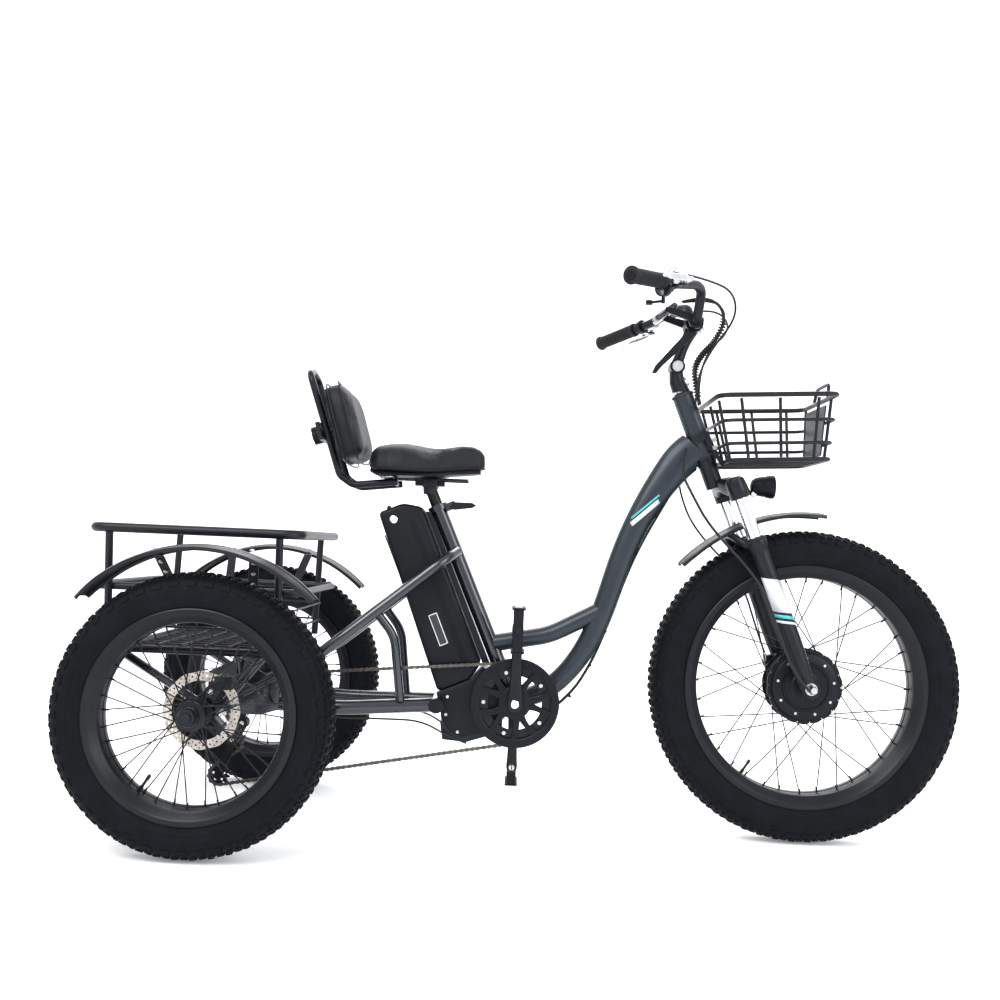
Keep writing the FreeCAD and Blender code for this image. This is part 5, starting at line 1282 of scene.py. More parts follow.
def build_fenders():
    """Front blade with its stay, rear blades with their brackets and bolts."""
    front_r, rear_r = 0.396, 0.324
    bm = bmesh.new()
    fender_strip(bm, FRONT_AXLE, 0, front_r, 0.047, math.radians(84.5), math.radians(137.5))
    finish_piece("front_mudguard", bm, "fork_lower", "black_steel", ("front_fender",),
                 angle=40)
    bm = bmesh.new()
    pts = spline_points([steer(-0.262, FORK_OFFSET + 0.0245, LEG_Y),
                         steer(-0.235, FORK_OFFSET + 0.032, LEG_Y - 0.003),
                         steer(-0.205, FORK_OFFSET + 0.034, LEG_Y - 0.01),
                         steer(-0.18, FORK_OFFSET + 0.02, 0.06),
                         steer(-0.168, FORK_OFFSET + 0.004, 0.049)])
    add_tube(bm, pts, 0.0029, 10)
    add_bar(bm, steer(-0.178, -0.014, 0), steer(-0.171, -0.015, 0), 0.006, 0.006, 16)
    finish_piece("mudguard_stay", bm, "fork_lower", "black_steel")
    bm = bmesh.new()
    add_bar(bm, steer(-0.262, FORK_OFFSET + 0.024, LEG_Y), steer(-0.262, FORK_OFFSET + 0.03, LEG_Y), 0.0045,
            count=6)
    finish_piece("mudguard_bolt", bm, "fork_lower", "steel")
    centre = Vector((REAR_AXLE.x, 0, 0.296))
    bm = bmesh.new()
    for side in (-1, 1):
        fender_strip(bm, centre, side * REAR_WHEEL_Y, rear_r, 0.0415, math.radians(44), math.radians(139), 72)
    finish_piece("rear_mudguards", bm, "frame", "black_steel", ("rear_fenders",), angle=40)
    bm = bmesh.new()
    nuts = bmesh.new()
    for side in (-1, 1):
        for x, lean in ((-0.785, 0.012), (-0.59, -0.014)):
            z = centre.z + math.sqrt(rear_r ** 2 - (x - REAR_AXLE.x) ** 2) - 0.0085
            top, elbow = Vector((x, side * 0.3, z)), Vector((x, side * 0.276, z - 0.004))
            foot = Vector((x + lean, side * 0.2165, 0.53))
            toe = Vector((x + lean, side * 0.2165, 0.516))
            path = [top, elbow, elbow.lerp(foot, 0.5), foot, toe]
            rings = []
            for i, p in enumerate(path):
                run = (path[min(i + 1, 4)] - path[max(i - 1, 0)]).normalized()
                flat = run.cross(Vector((1, 0, 0))).normalized()
                rings.append([p + Vector((sx * 0.0105, 0, 0)) + flat * (sf * 0.0016)
                              for sx, sf in ((-1, -1), (1, -1), (1, 1), (-1, 1))])
            add_loft(bm, rings)
            face = (foot - elbow).cross(Vector((1, 0, 0))).normalized()
            if face.y * side < 0:
                face = -face
            for t in (0.16, 0.5, 0.84):
                add_turned(nuts, elbow.lerp(foot, t) + face * 0.0014, face,
                           [(0.0, 0.0), (0.0048, 0.0), (0.0046, 0.002), (0.0028, 0.003), (0.0, 0.003)], 12,
                           closed=False)
            add_turned(nuts, Vector((x, side * 0.296, z + 0.01)), (0, 0, 1),
                       [(0.0, 0.0), (0.0056, 0.0), (0.0052, 0.0026), (0.003, 0.0038), (0.0, 0.0038)], 12,
                       closed=False)
    finish_piece("mudguard_brackets", bm, "frame", "black_steel", bevel=0.001)
    finish_piece("mudguard_bolts", nuts, "frame", "steel", angle=30)


GRIP_IN = Vector((0.258, 0.2, 1.215))
GRIP_OUT = Vector((0.15, 0.345, 1.19))


def grip_axis(side):
    """Inner end of a grip and its outward direction."""
    a = Vector((GRIP_IN.x, side * GRIP_IN.y, GRIP_IN.z))
    b = Vector((GRIP_OUT.x, side * GRIP_OUT.y, GRIP_OUT.z))
    return a, (b - a).normalized()


def grip_point(dist, side, lift=0.0, ahead=0.0):
    """Point beside the grip: dist along it, lift above it, ahead of it (all in mm)."""
    a, d = grip_axis(side)
    front = Vector((abs(d.y), side * -d.x, 0)).normalized()
    if front.x < 0:
        front = -front
    return a + d * (dist * MM) + Vector((0, 0, lift * MM)) + front * (ahead * MM)


def build_bars():
    """Ribbed grips with plugs, the brake levers and the bar materials."""
    for node, mat in (("handlebar", "black_alloy"), ("stem_arm", "black_alloy"), ("stem_base", "black_alloy"),
                      ("bearings", "black_alloy"), ("stem_lever", "black_alloy"),
                      ("lever_clamps", "black_alloy")):
        node_material(node, mat)
    bm = bmesh.new()
    for side in (-1, 1):
        a, d = grip_axis(side)
        prof = [(0.0112, 0.052), (0.0165, 0.052), (0.0172, 0.054), (0.0172, 0.0595), (0.0158, 0.061)]
        z = 0.063
        while z < 0.172:
            prof += [(0.0153, z), (0.0162, z + 0.0006), (0.0162, z + 0.0022), (0.0153, z + 0.0028)]
            z += 0.0041
        prof += [(0.0158, 0.1745), (0.0175, 0.1775), (0.019, 0.1805), (0.019, 0.183), (0.0178, 0.184),
                 (0.0112, 0.184)]
        add_turned(bm, a, d, prof, 40)
    finish_piece("bar_grips", bm, "bars", "grip", ("grips",), angle=50)
    bm = bmesh.new()
    for side in (-1, 1):
        a, d = grip_axis(side)
        add_socket_head(bm, a, d, (0.0108, 0.1838), (0.0092, 0.185), (0.005, 0.185), (0.004, 0.1842), 32,
                        base=0.1805)
    finish_piece("bar_plugs", bm, "bars", "plastic")
    for side, node, body in ((-1, "right_brake_lever", "right_brake"), (1, "left_brake_lever", "left_brake")):
        build_brake_lever(side, node, JOINTS[body]["child"])


def build_brake_lever(side, node, body):
    """Blade that thins out towards a round tip, and its pivot."""
    route = spline_points([grip_point(31, side, -2, 38), grip_point(44, side, -2, 52),
                           grip_point(60, side, -2, 62),
                           grip_point(92, side, -3, 62), grip_point(120, side, -3, 58),
                           grip_point(146, side, -3, 60),
                           grip_point(163, side, -3, 66)])
    bm = bmesh.new()
    rings = []
    n = len(route)
    for i, p in enumerate(route):
        t = i / (n - 1)
        ahead = (route[min(i + 1, n - 1)] - route[max(i - 1, 0)]).normalized()
        up = Vector((0, 0, 1))
        out = ahead.cross(up).normalized()
        wide = 0.0058 + 0.0012 * math.sin(math.pi * min(1.0, t * 1.2))
        thin = 0.0046 - 0.0016 * t
        if t > 0.94:
            wide *= 1.0 + 0.1 * math.sin((t - 0.94) / 0.06 * math.pi)
        if t < 0.1:
            wide, thin = 0.0062, 0.0052
        rings.append([p + up * (wide * squared(math.sin(a), 0.8))
                      + out * (thin * squared(math.cos(a), 0.8))
                      for a in angles(16)])
    add_loft(bm, rings)
    tip = route[-1]
    made = bmesh.ops.create_uvsphere(bm, u_segments=20, v_segments=12, radius=0.0066)
    bmesh.ops.translate(bm, verts=made["verts"], vec=tip)
    finish_piece(node + "_blade", bm, body, "alloy", (node,), angle=50)
    bm = bmesh.new()
    pivot = grip_point(29, side, 0, 36)
    add_bar(bm, pivot - Vector((0, 0, 0.0105)), pivot + Vector((0, 0, 0.01)), 0.003, count=16)
    add_bar(bm, pivot + Vector((0, 0, 0.0095)), pivot + Vector((0, 0, 0.0115)), 0.0048, 0.0044, 6)
    finish_piece(node + "_pivot", bm, body, "steel", angle=30)


def build_display():
    """Display case, its glass and plain level bars."""
    lean = Matrix.Rotation(math.radians(-38), 4, "Y")
    centre = Vector((0.268, 0, 1.196))

    def local(x, y, z):
        return centre + lean @ Vector((x, y, z))

    bm = bmesh.new()
    rings = []
    for z, k, r in ((-0.007, 0.9, 0.01), (-0.0045, 0.97, 0.011), (0.0, 1.0, 0.012), (0.0045, 0.985, 0.012),
                    (0.0065, 0.93, 0.011)):
        ring = []
        for cx, cy, a0 in ((1, 1, 0), (-1, 1, 90), (-1, -1, 180), (1, -1, 270)):
            for j in range(5):
                a = math.radians(a0 + j * 22.5)
                ring.append(local((cx * (0.031 - r) + r * math.cos(a)) * k,
                                  (cy * (0.033 - r) + r * math.sin(a)) * k, z))
        rings.append(ring)
    add_loft(bm, rings)
    finish_piece("display_case", bm, JOINTS["display_tilt"]["child"], "gloss_plastic",
                 ("display",),
                 angle=50)
    bm = bmesh.new()
    rings = []
    for z, k in ((0.006, 1.0), (0.0069, 0.985)):
        rings.append([local(x * k, y * k, z) for x, y in
                      ((-0.02, -0.026), (0.021, -0.026), (0.024, -0.023), (0.024, 0.023), (0.021, 0.026),
                       (-0.02, 0.026), (-0.023, 0.023), (-0.023, -0.023))])
    add_loft(bm, rings)
    finish_piece("display_glass", bm, JOINTS["display_tilt"]["child"], "screen",
                 bevel=0.0005)
    bm = bmesh.new()
    for x, y, w in ((0.014, -0.012, 0.01), (0.014, 0.003, 0.01), (-0.012, -0.018, 0.007),
                    (-0.012, 0.0, 0.007),
                    (-0.012, 0.018, 0.007)):
        add_box(bm, local(x, y, 0.0071), (0.0016, w, 0.0004), lean)
    for k in range(5):
        add_box(bm, local(0.001, -0.018 + 0.009 * k, 0.0071), (0.0052, 0.0055, 0.0004), lean)
    finish_piece("display_bars", bm, JOINTS["display_tilt"]["child"], "label", smooth=False)


def build_stem():
    """Swept stem base with its knuckle and cap, the oval arm and the front plate of the clamp."""
    pivot = Vector(JOINTS["stem_tilt"]["pos_m"])
    clamp = Vector((0.334, 0, 1.172))
    bm = bmesh.new()
    spine = ((steer(0.1625, 0), 0.0215, 0.0215), (steer(0.17, 0), 0.0205, 0.0205),
             (steer(0.186, -0.001), 0.019, 0.019),
             (Vector((0.301, 0, 1.04)), 0.0172, 0.018), (Vector((0.299, 0, 1.056)), 0.016, 0.018),
             (Vector((0.299, 0, 1.07)), 0.015, 0.018))
    rings = []
    for p, rx, ry in spine:
        rings.append(ellipse(p, Vector((1, 0, 0.1)), Y, rx, ry, 32))
    add_loft(bm, rings)
    add_turned(bm, pivot, Y, [(0.0, -0.0205), (0.016, -0.0205), (0.0176, -0.019), (0.0176, 0.019),
                              (0.016, 0.0205), (0.0, 0.0205)], 40, closed=False)
    finish_piece("stem_foot", bm, "steering", "black_alloy", ("stem_base",), angle=40)
    bm = bmesh.new()
    for side in (-1, 1):
        add_turned(bm, pivot + Y * (side * 0.02), Y * side,
                   [(0.0, 0.0), (0.0128, 0.0), (0.0128, 0.0022), (0.0115, 0.0034), (0.0, 0.0036)], 36,
                   closed=False)
        add_box(bm, pivot + Y * (side * 0.0236), (0.018, 0.0012, 0.0022),
                Matrix.Rotation(math.radians(-24), 4, "Y"))
    for s, n in ((0.176, 0.0195), (0.19, 0.0165)):
        c = steer(s, n)
        add_socket_head(bm, c, STEER_FRONT, (0.0042, 0.0036), (0.0036, 0.0042), (0.002, 0.0042),
                        (0.0018, 0.0022), 16)
    finish_piece("stem_caps", bm, "steering", "steel", angle=30)
    bm = bmesh.new()
    rings = []
    for x, z, rx, ry in ((0.3, 1.078, 0.014, 0.015), (0.3045, 1.093, 0.013, 0.0142),
                         (0.311, 1.113, 0.0122, 0.014),
                         (0.319, 1.133, 0.0128, 0.015), (0.327, 1.15, 0.015, 0.018),
                         (0.332, 1.164, 0.018, 0.0215)):
        rings.append(ellipse(Vector((x, 0, z)), Vector((0.94, 0, -0.34)), Y, rx, ry, 32))
    add_loft(bm, rings)
    add_turned(bm, clamp, Y, [(0.0116, -0.0235), (0.0196, -0.0235), (0.0208, -0.0222), (0.0208, 0.0222),
                              (0.0196, 0.0235), (0.0116, 0.0235)], 40)
    finish_piece("stem_neck", bm, "bars", "black_alloy", ("stem_arm",), angle=40)
    bm = bmesh.new()
    for y in (-0.0155, 0.0155):
        for lift in (-0.011, 0.011):
            c = clamp + Vector((0.018, y, lift))
            add_socket_head(bm, c, (1, 0, 0), (0.004, 0.0042), (0.0034, 0.0048), (0.002, 0.0048),
                            (0.0018, 0.003), 16)
    finish_piece("clamp_bolts", bm, "bars", "steel", angle=30)


def build_perches():
    """Cast lever perches, the bell and the shifter pod's cover."""
    for side in (-1, 1):
        bm = bmesh.new()
        rings = []
        for dist, lift, ahead, wide, tall in ((36, 1, 15, 0.006, 0.007), (30, 1, 20, 0.009, 0.0085),
                                              (22, 2, 27, 0.01, 0.009), (12, 3, 33, 0.009, 0.0082),
                                              (4, 4, 38, 0.0065, 0.0064), (0, 5, 40, 0.004, 0.0044)):
            c = grip_point(dist, side, lift, ahead)
            d = grip_axis(side)[1]
            front = Vector((abs(d.y), side * -d.x, 0)).normalized()
            rings.append([c + front * (wide * squared(math.cos(t), 0.6))
                          + Vector((0, 0, tall * squared(math.sin(t), 0.6)))
                          for t in angles(20)])
        add_loft(bm, rings)
        finish_piece("lever_perch_%d" % (side + 1), bm, "bars", "alloy", angle=40)
    c = grip_point(12, -1, 14, 2)
    bm = bmesh.new()
    add_turned(bm, c, (0, 0, 1),
               [(0.0, 0.006), (0.0128, 0.006), (0.0138, 0.0068), (0.0135, 0.012), (0.011, 0.018),
                                  (0.006, 0.0212), (0.0016, 0.022), (0.0, 0.0222)], 40, closed=False)
    finish_piece("bell_dome", bm, "bars", "chrome", angle=40)
    bm = bmesh.new()
    a, d = grip_axis(-1)
    add_turned(bm, a, d, [(0.0112, 0.006), (0.0142, 0.006), (0.0146, 0.0075), (0.0146, 0.0165),
                          (0.0142, 0.018), (0.0112, 0.018)], 40)
    add_bar(bm, grip_point(12, -1, 11, 1), grip_point(12, -1, 21, 2), 0.007, 0.01, 20)
    finish_piece("bell_bracket", bm, "bars", "plastic", angle=40)
    bm = bmesh.new()
    rings = []
    for dist, r in ((37.5, 0.012), (39.0, 0.0185), (45.0, 0.0196), (50.0, 0.018), (52.0, 0.013)):
        c = grip_point(dist, -1, -12, -1)
        rings.append([c + Vector((0.94, 0.3, 0)) * (r * 0.92 * math.cos(t)) + Vector((0, 0, r * math.sin(t)))
                      for t in angles(28)])
    add_loft(bm, rings)
    finish_piece("shifter_pod_cover", bm, "bars", "gloss_plastic", angle=40)


def build_controls():
    """Display, stem, perches, their bands and the cable adjusters."""
    build_display()
    build_stem()
    build_perches()
    node_material("shifter", "plastic")
    bm = bmesh.new()
    for side in (-1, 1):
        a, d = grip_axis(side)
        add_turned(bm, a, d, [(0.0165, 0.0235), (0.0174, 0.024), (0.0174, 0.0345), (0.0165, 0.035)], 40)
        p = grip_point(29, side, 0, 0)
        q = grip_point(29, side, -17, 8)
        add_bar(bm, q, q + (q - p).normalized() * 0.004, 0.004, count=16)
    finish_piece("perch_bands", bm, "bars", "black_alloy", angle=30)
    bm = bmesh.new()
    for side in (-1, 1):
        tip = grip_point(20, side, 11, 38)
        root = grip_point(27, side, 2, 32)
        add_bar(bm, root, tip, 0.0052, 0.0042, 16)
        add_turned(bm, root + (tip - root) * 0.3, tip - root,
                   [(0.0046, 0.0), (0.0068, 0.0003), (0.007, 0.0015), (0.007, 0.0045), (0.0068, 0.0057),
                    (0.0046, 0.006)],
                   20)
    finish_piece("cable_adjusters", bm, "bars", "alloy", angle=30)


def add_wrap(bm, points, radius, start, stop, pitch=0.007):
    """Spiral wrap around a cable bundle from start to stop along its length."""
    pts = spline_points([Vector(p) for p in points])
    run = [0.0]
    for a, b in zip(pts, pts[1:]):
        run.append(run[-1] + (b - a).length)
    total = run[-1]

    def at(s):
        for i in range(1, len(pts)):
            if run[i] >= s:
                t = (s - run[i - 1]) / max(1e-9, run[i] - run[i - 1])
                return pts[i - 1].lerp(pts[i], t), (pts[i] - pts[i - 1]).normalized()
        return pts[-1], (pts[-1] - pts[-2]).normalized()

    coil = []
    s = start * total
    u = basis(at(s)[1])[1]
    turn = 0.0
    while s < stop * total:
        p, t = at(s)
        u = (u - t * u.dot(t)).normalized()
        w = t.cross(u)
        coil.append(p + u * (radius * math.cos(turn)) + w * (radius * math.sin(turn)))
        s += pitch / 14
        turn += 2 * math.pi / 14
    add_tube(bm, coil, 0.0017, 8)


def build_cables():
    """Brake, shift and motor cables on the routes of the CAD, with a spiral wrap where they run together."""
    display_lead = [(0.3, -0.044, 1.214), (0.36, -0.058, 1.226), (0.404, -0.03, 1.196), (0.392, -0.012, 1.14),
                    (0.34, -0.02, 1.085), (0.338, -0.022, 1.04), steer(0.12, 0.027, -0.015)]
    right = [grip_point(20, -1, 12, 38), (0.334, -0.16, 1.237), (0.406, -0.096, 1.23), (0.424, -0.052, 1.18),
             (0.372, -0.036, 1.11), (0.34, -0.036, 1.04), steer(0.12, 0.014, -0.03)]
    left = [grip_point(20, 1, 12, 38), (0.334, 0.16, 1.237), (0.41, 0.092, 1.232), (0.43, 0.03, 1.172),
            (0.366, -0.024, 1.108), (0.346, -0.029, 1.04), steer(0.12, 0.022, -0.024)]
    bm = bmesh.new()
    for points, radius in ((right, 0.0025), (left, 0.0025), (display_lead, 0.0036)):
        add_tube(bm, spline_points([Vector(p) for p in points]), radius, 12)
    for shift, lift in ((0.005, -0.006), (-0.004, 0.005)):
        near = [Vector(p) + Vector((shift * 0.6, shift, lift * math.sin(2.0 * i))) for i,
                p in enumerate(display_lead)]
        add_tube(bm, spline_points(near), 0.0021, 12)
    add_wrap(bm, display_lead, 0.0068, 0.36, 0.95)
    piece = finish_piece("bar_cable_set", bm, None, "rubber", ("bar_cables",), angle=60)
    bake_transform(piece)
    lead = [(0.322, 0.03, 0.88), (0.322, 0.062, 0.83), (0.334, 0.096, 0.78), (0.372, 0.112, 0.7),
            steer(-0.3, 0.008, 0.108), steer(-0.43, 0, 0.104), steer(-0.48, -0.004, 0.084)]
    hose = [(0.322, -0.03, 0.88), (0.306, -0.056, 0.83), (0.33, -0.096, 0.77), (0.368, -0.112, 0.7),
            steer(-0.3, 0.004, -0.11), steer(-0.42, 0.002, -0.11), steer(-0.52, 0.004, -0.11),
            steer(-0.558, 0.024, -0.107)]
    loops, legs = bmesh.new(), bmesh.new()
    for points, radius in ((lead, 0.0025), (hose, 0.003)):
        path = spline_points([Vector(p) for p in points])
        cut = next(i for i, p in enumerate(path) if p.z < 0.7)
        add_tube(loops, path[:cut + 1], radius, 12)
        add_tube(legs, path[cut:], radius, 12)
    piece = finish_piece("fork_cable_loops", loops, None, "rubber", ("fork_cables",), angle=60)
    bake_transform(piece)
    piece = finish_piece("fork_cable_legs", legs, None, "rubber", angle=60)
    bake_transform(piece)
    bm = bmesh.new()
    lower = ((0.31, 0.812), (0.268, 0.738), (0.224, 0.652), (0.19, 0.562), (0.16, 0.47), (0.128, 0.392),
             (0.084, 0.32), (0.03, 0.276))
    for y in (-0.007, 0.007):
        add_tube(bm, spline_points([Vector((x - 0.003, y, z - 0.016)) for x, z in lower]), 0.0025, 12)
    for side in (-1, 1):
        route = [(-0.15, side * 0.03, 0.192), (-0.19, side * 0.044, 0.208), (-0.25, side * 0.064, 0.244),
                 (-0.33, side * 0.074, 0.246), (-0.43, side * 0.084, 0.246), (-0.53, side * 0.094, 0.25),
                 (-0.588, side * 0.128, 0.286), (-0.594, side * 0.19, 0.32), (-0.6, side * 0.25, 0.338)]
        add_tube(bm, spline_points([Vector(p) for p in route]), 0.0022, 12)
    finish_piece("frame_cable_set", bm, "frame", "rubber", ("frame_cables",), angle=60)
    bm = bmesh.new()
    for x, z in lower[1:-1]:
        add_box(bm, (x - 0.003, 0, z - 0.016), (0.0042, 0.0235, 0.0068),
                Matrix.Rotation(math.radians(62), 4, "Y"))
    finish_piece("cable_clips", bm, "frame", "plastic", bevel=0.0008)


# ---------------------------------------------------------------- battery, lamp, frame details

BATTERY = ((-0.372, 0.704), (-0.318, 0.728), (-0.274, 0.722), (-0.124, 0.372), (-0.146, 0.338),
           (-0.219, 0.306))
BATTERY_SLIDE = Vector(JOINTS["battery_slide"]["axis"]).normalized()


def inset_polygon(poly, d):
    """Polygon moved inwards by d, corners mitred."""
    out = []
    n = len(poly)
    mid = Vector((sum(p[0] for p in poly) / n, sum(p[1] for p in poly) / n))
    for i in range(n):
        p, q, r = Vector(poly[i - 1]), Vector(poly[i]), Vector(poly[(i + 1) % n])
        a, b = (q - p).normalized(), (r - q).normalized()
        na, nb = Vector((a.y, -a.x)), Vector((b.y, -b.x))
        if na.dot(mid - q) < 0:
            na, nb = -na, -nb
        bis = (na + nb).normalized()
        out.append(q + bis * (d / max(0.35, bis.dot(na))))
    return out


def build_battery():
    """Battery shell with ribs, plain plate, lock and grab, and the controller cover below it."""
    front = Vector((BATTERY_SLIDE.z, 0, -BATTERY_SLIDE.x))
    bm = bmesh.new()
    rings = []
    for y, d in ((-0.043, 0.0085), (-0.042, 0.0045), (-0.0395, 0.0018), (-0.035, 0.0), (-0.0016, 0.0),
                 (-0.0012, 0.0012), (0.0012, 0.0012), (0.0016, 0.0), (0.035, 0.0), (0.0395, 0.0018),
                 (0.042, 0.0045), (0.043, 0.0085)):
        rings.append([Vector((p[0], y, p[1])) for p in inset_polygon(BATTERY, d)])
    add_loft(bm, rings)
    edges = [e for e in bm.edges if abs((e.verts[0].co - e.verts[1].co).y) > 1e-5]
    bmesh.ops.bevel(bm, geom=edges, offset=0.009, segments=4, affect="EDGES", profile=0.5, clamp_overlap=True)
    finish_piece("battery_shell", bm, "battery", "plastic", ("battery_case",), angle=50)
    along = BATTERY_SLIDE
    low = Vector((-0.1715, 0, 0.34))
    lean = Matrix(((front.x, 0, along.x, 0), (0, 1, 0, 0), (front.z, 0, along.z, 0), (0, 0, 0, 1)))
    bm = bmesh.new()
    for side in (-1, 1):
        for across, wide, length in ((0.03, 0.0022, 0.345), (0.0245, 0.0022, 0.35),
                                     (0.019, 0.0022, 0.355), (-0.044, 0.003, 0.33)):
            add_box(bm, low + along * 0.195 + front * across + Y * (side * 0.043), (wide, 0.0024, length),
                    lean)
    finish_piece("battery_ribs", bm, "battery", "plastic", bevel=0.0008)
    bm = bmesh.new()
    for side in (-1, 1):
        c = low + along * 0.118 + front * -0.006 + Y * (side * 0.0433)
        add_box(bm, c, (0.0205, 0.001, 0.074), lean)
    finish_piece("battery_plate", bm, "battery", "label", bevel=0.0004)
    bm = bmesh.new()
    for side in (-1, 1):
        c = low + along * 0.118 + front * -0.006 + Y * (side * 0.0434)
        add_box(bm, c, (0.0165, 0.0012, 0.07), lean)
    finish_piece("battery_plate_field", bm, "battery", "gloss_plastic", bevel=0.0004)
    bm = bmesh.new()
    lock = Vector((-0.336, 0, 0.69))
    for side in (-1, 1):
        add_socket_head(bm, lock + Y * (side * 0.0428), Y * side, (0.0088, 0.0016), (0.0074, 0.0024),
                        (0.003, 0.0024), (0.0026, 0.0012), 32)
    finish_piece("battery_lock", bm, "battery", "chrome", angle=30)
    bm = bmesh.new()
    pts = [Vector((-0.352, -0.0255, 0.7075)), Vector((-0.352, -0.0255, 0.719)), Vector((-0.352, 0, 0.72)),
           Vector((-0.352, 0.0255, 0.719)), Vector((-0.352, 0.0255, 0.7075))]
    add_tube(bm, spline_points(pts), 0.003, 12)
    finish_piece("battery_grab", bm, "battery", "plastic")
    node_material("battery_dock", "black_alloy")
    bm = bmesh.new()
    box = ((-0.215, 0.303), (-0.209, 0.248), (-0.19, 0.216), (-0.162, 0.205), (-0.08, 0.224),
           (-0.074, 0.3), (-0.094, 0.35), (-0.12, 0.365), (-0.145, 0.3365))
    rings = [[Vector((p[0], y, p[1])) for p in inset_polygon(box, d)]
             for y, d in ((-0.0412, 0.006), (-0.0406, 0.003), (-0.039, 0.001), (-0.0365, 0.0), (0.0365, 0.0),
                          (0.039, 0.001), (0.0406, 0.003), (0.0412, 0.006))]
    add_loft(bm, rings)
    finish_piece("controller_cover", bm, "frame", "plastic", bevel=0.003, angle=50)
    bm = bmesh.new()
    for side in (-1, 1):
        for x, z in ((-0.198, 0.256), (-0.17, 0.218), (-0.196, 0.296), (-0.1, 0.338)):
            add_turned(bm, Vector((x, side * 0.041, z)), Y * side,
                       [(0.0, 0.0), (0.0036, 0.0), (0.0036, 0.001),
                                                                    (0.003, 0.0016), (0.0014, 0.0016),
                        (0.0, 0.0006)],
                       16, closed=False)
    finish_piece("controller_screws", bm, "frame", "steel", angle=30)
    bm = bmesh.new()
    for side in (-1, 1):
        add_turned(bm, Vector((-0.22, side * 0.0605, 0.277)), Y * side,
                   [(0.0, 0.0), (0.0168, 0.0), (0.0168, 0.0015), (0.015, 0.003), (0.0, 0.0034)], 40,
                   closed=False)
    finish_piece("cross_tube_caps", bm, "frame", "plastic", angle=30)


def build_headlight():
    """Lamp shell, lens, reflector, arm and bolts."""
    c = Vector((0.505, 0, 0.802))
    bm = bmesh.new()
    add_turned(bm, c, (1, 0, 0), [(0.0, -0.026), (0.008, -0.0255), (0.015, -0.0225), (0.0195, -0.016),
                                  (0.0225, -0.006), (0.0228, 0.0), (0.0236, 0.0005), (0.0236, 0.003),
                                  (0.0228, 0.0035), (0.0255, 0.012), (0.027, 0.018), (0.027, 0.0255),
                                  (0.0258, 0.027), (0.024, 0.027), (0.0232, 0.02), (0.012, 0.011),
                                  (0.0, 0.009)], 56, closed=False)
    finish_piece("lamp_shell", bm, "steering", "plastic", ("headlight",), angle=30)
    bm = bmesh.new()
    prof = [(0.0236, 0.02), (0.0236, 0.0235), (0.018, 0.0247), (0.01, 0.0256), (0.0, 0.026), (0.0, 0.0205),
            (0.01, 0.0203)]
    add_turned(bm, c, (1, 0, 0), prof, 56, closed=True)
    finish_piece("lamp_lens", bm, "steering", "lens", angle=30)
    bm = bmesh.new()
    add_turned(bm, c, (1, 0, 0), [(0.0234, 0.0198), (0.015, 0.016), (0.007, 0.012), (0.0, 0.011), (0.0, 0.01),
                                  (0.01, 0.0105), (0.02, 0.0175)], 56, closed=True)
    finish_piece("lamp_reflector", bm, "steering", "chrome", angle=40)
    bm = bmesh.new()
    arm = [steer(-0.068, 0.036), steer(-0.07, 0.05), steer(-0.068, 0.066), Vector((0.478, 0, 0.778)),
           Vector((0.488, 0, 0.792))]
    add_tube(bm, spline_points(arm), 0.0052, 14)
    finish_piece("lamp_arm", bm, "steering", "black_steel")
    bm = bmesh.new()
    for side in (-1, 1):
        add_turned(bm, Vector((0.486, side * 0.0045, 0.784)), (0, side, 0),
                   [(0.0, 0.0), (0.007, 0.0), (0.007, 0.003), (0.006, 0.0042), (0.0034, 0.0046),
                    (0.0, 0.003)],
                   12, closed=False)
    add_bar(bm, steer(-0.066, 0.0395), steer(-0.066, 0.0455), 0.0058, 0.0054, 6)
    finish_piece("lamp_bolts", bm, "steering", "chrome", angle=30)


def build_frame_details():
    """Materials of the carried-over tubes, the printed stripe, weld beads, caliper parts and small bolts."""
    for node, mat in (("head_tube", "grey_paint"), ("down_tube", "grey_paint"), ("seat_tube", "black_gloss"),
                      ("chain_stays", "black_gloss"), ("seat_stays", "black_gloss"),
                      ("rear_rack", "black_steel"),
                      ("rear_carrier", "black_gloss"), ("front_basket", "black_steel"),
                      ("front_caliper", "black_alloy"), ("rear_calipers", "black_alloy")):
        node_material(node, mat)
    build_stripe()
    build_welds()
    build_caliper_details()
    build_carrier_bolts()
    build_basket_fittings()


def snap_to(node, point, toward, reach=0.2):
    """Point and normal where a ray from outside meets a CAD node."""
    hit, place, normal, _ = NODES[node].ray_cast(Vector(point), Vector(toward).normalized(), distance=reach)
    return (place, normal) if hit else (None, None)


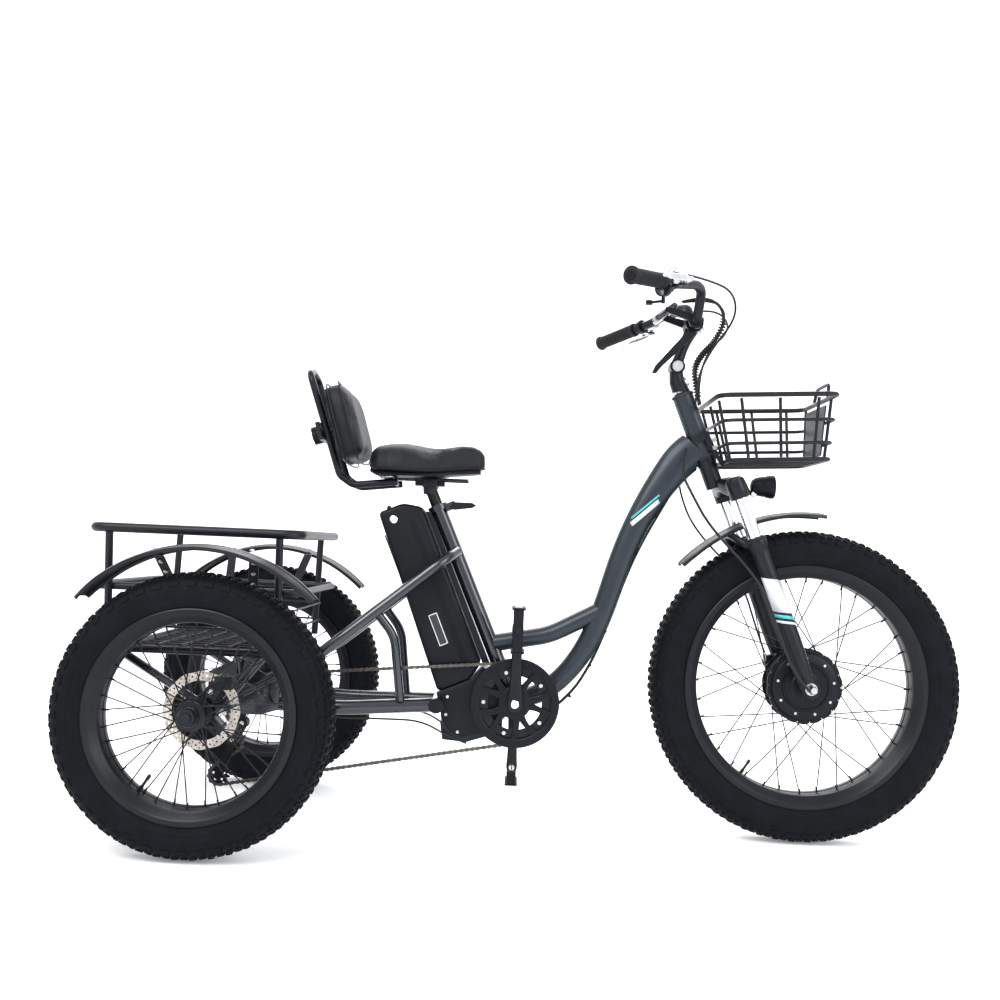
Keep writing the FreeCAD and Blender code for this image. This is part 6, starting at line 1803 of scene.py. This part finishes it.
def build_stripe():
    """Printed diagonal band laid on both sides of the down tube."""
    for side in (-1, 1):
        for n, (lift, wide, mat) in enumerate(((0.0, 0.0085, "label"), (0.014, 0.0035, "teal"))):
            bm = bmesh.new()
            rows = []
            for k in range(15):
                t = k / 14
                x = 0.205 + 0.062 * t
                z = 0.702 + 0.056 * t + lift
                row = []
                for j in range(4):
                    across = wide * (j / 3 - 0.5)
                    p = Vector((x - across * 0.6, side * 0.12, z + across))
                    place, normal = snap_to("down_tube", p, (0, -side, 0))
                    row.append(place + normal * 0.00035 if place else None)
                rows.append(row)
            grid = [[bm.verts.new(p) if p else None for p in row] for row in rows]
            for a, b in zip(grid, grid[1:]):
                for j in range(3):
                    quad = (a[j], a[j + 1], b[j + 1], b[j])
                    if all(quad):
                        bm.faces.new(quad)
            bmesh.ops.delete(bm, geom=[v for v in bm.verts if not v.link_faces], context="VERTS")
            if not bm.faces:
                bm.free()
                continue
            obj = finish_piece("tube_stripe_%d_%d" % (n, side + 1), bm, "frame", mat)
            thick = obj.modifiers.new("thick", "SOLIDIFY")
            thick.thickness = 0.0003
            thick.offset = 0


def add_bead(bm, centre, axis, radius, thick=0.0022, count=44, squash=None):
    """Rippled weld bead around a joint."""
    d, u, w = basis(axis)
    centre = Vector(centre)
    sa, sb = squash or (1.0, 1.0)
    rings = []
    n = count * 4
    for k in range(n):
        t = 2 * math.pi * k / n
        out = u * (math.cos(t) * sa) + w * (math.sin(t) * sb)
        r = thick * (1 + 0.22 * math.sin(t * count))
        core = centre + out * radius
        rings.append([core + out.normalized() * (r * math.cos(a)) + d * (r * 1.3 * math.sin(a))
                      for a in angles(8)])
    add_loft(bm, rings, closed=True)


def build_welds():
    """Weld beads at the head tube, crank shell and seat tube."""
    bm = bmesh.new()
    for s in (0.004, 0.154):
        add_bead(bm, steer(s, 0), STEER_UP, 0.0242, 0.0018, 60)
    for y in (-0.034, 0.034):
        add_bead(bm, (BB.x, y, BB.z), Y, 0.0232, 0.002, 50)
    finish_piece("frame_beads", bm, "frame", "grey_paint", angle=60)
    bm = bmesh.new()
    seat_axis = Vector(JOINTS["seat_height"]["axis"]).normalized()
    base = Vector((-0.052, 0, 0.3))
    for d in (0.02, 0.462):
        add_bead(bm, base + seat_axis * d, seat_axis, 0.0177, 0.0016, 40)
    finish_piece("seat_tube_beads", bm, "frame", "black_gloss", angle=60)


def build_caliper_details():
    """Piston caps and mounting bolts of the three disc calipers."""
    for name, body in (("front", "fork_lower"), ("rear", "frame")):
        spots = []
        if name == "front":
            spots.append((FRONT_AXLE, math.radians(140), FRONT_DISC_Y, 1))
        else:
            spots += [(REAR_AXLE, math.radians(52), y, out) for y,
                      out in ((-REAR_DISC_Y, 1), (REAR_DISC_Y, -1))]
        bm = bmesh.new()
        bolts = bmesh.new()
        for axle, angle, y, out in spots:
            c = Vector((axle.x + 0.073 * math.cos(angle), y, axle.z + 0.073 * math.sin(angle)))
            face = c + Y * (out * 0.016)
            add_socket_head(bm, face, Y * out, (0.0135, 0.005), (0.012, 0.0066), (0.0075, 0.0066),
                            (0.007, 0.0052), 36)
            run = Vector((-math.sin(angle), 0, math.cos(angle)))
            for s in (-1, 1):
                p = c + run * (s * 0.017) + Y * (out * 0.012)
                add_socket_head(bolts, p, Y * out, (0.0046, 0.0044), (0.004, 0.005), (0.0024, 0.005),
                                (0.0022, 0.003), 16)
        finish_piece(name + "_caliper_caps", bm, body, "alloy", angle=30)
        finish_piece(name + "_caliper_bolts", bolts, body, "steel", angle=30)


def build_carrier_bolts():
    """Cap screws round the two rear axle housings."""
    bm = bmesh.new()
    for y in (-0.118, 0.118):
        for k in range(3):
            a = math.radians(35 + 120 * k)
            c = Vector((REAR_AXLE.x + 0.031 * math.cos(a), y, REAR_AXLE.z + 0.031 * math.sin(a)))
            add_socket_head(bm, c, (0, math.copysign(1, y), 0), (0.0062, 0.004), (0.0054, 0.0052),
                            (0.0032, 0.0052), (0.003, 0.003), 18, base=-0.001)
    finish_piece("carrier_bolts", bm, "frame", "chrome", angle=30)


def build_basket_fittings():
    """Bolts that hold the basket's bracket."""
    bm = bmesh.new()
    for y in (-0.029, 0.029):
        for x, z in ((0.388, 0.885), (0.386, 0.903)):
            side = math.copysign(1, y)
            add_socket_head(bm, Vector((x, side * 0.0308, z)), (0, side, 0), (0.0055, 0.003),
                            (0.0047, 0.0038), (0.0026, 0.0038), (0.0024, 0.002), 18)
    finish_piece("basket_bolts", bm, "frame", "steel", angle=30)


# ---------------------------------------------------------------- everything

build_stage()
build_lights()
build_camera()
build_wheels()
build_drive()
build_fork()
build_fenders()
build_headlight()
build_bars()
build_controls()
build_cables()
build_battery()
build_frame_details()
build_saddle()
build_backrest()
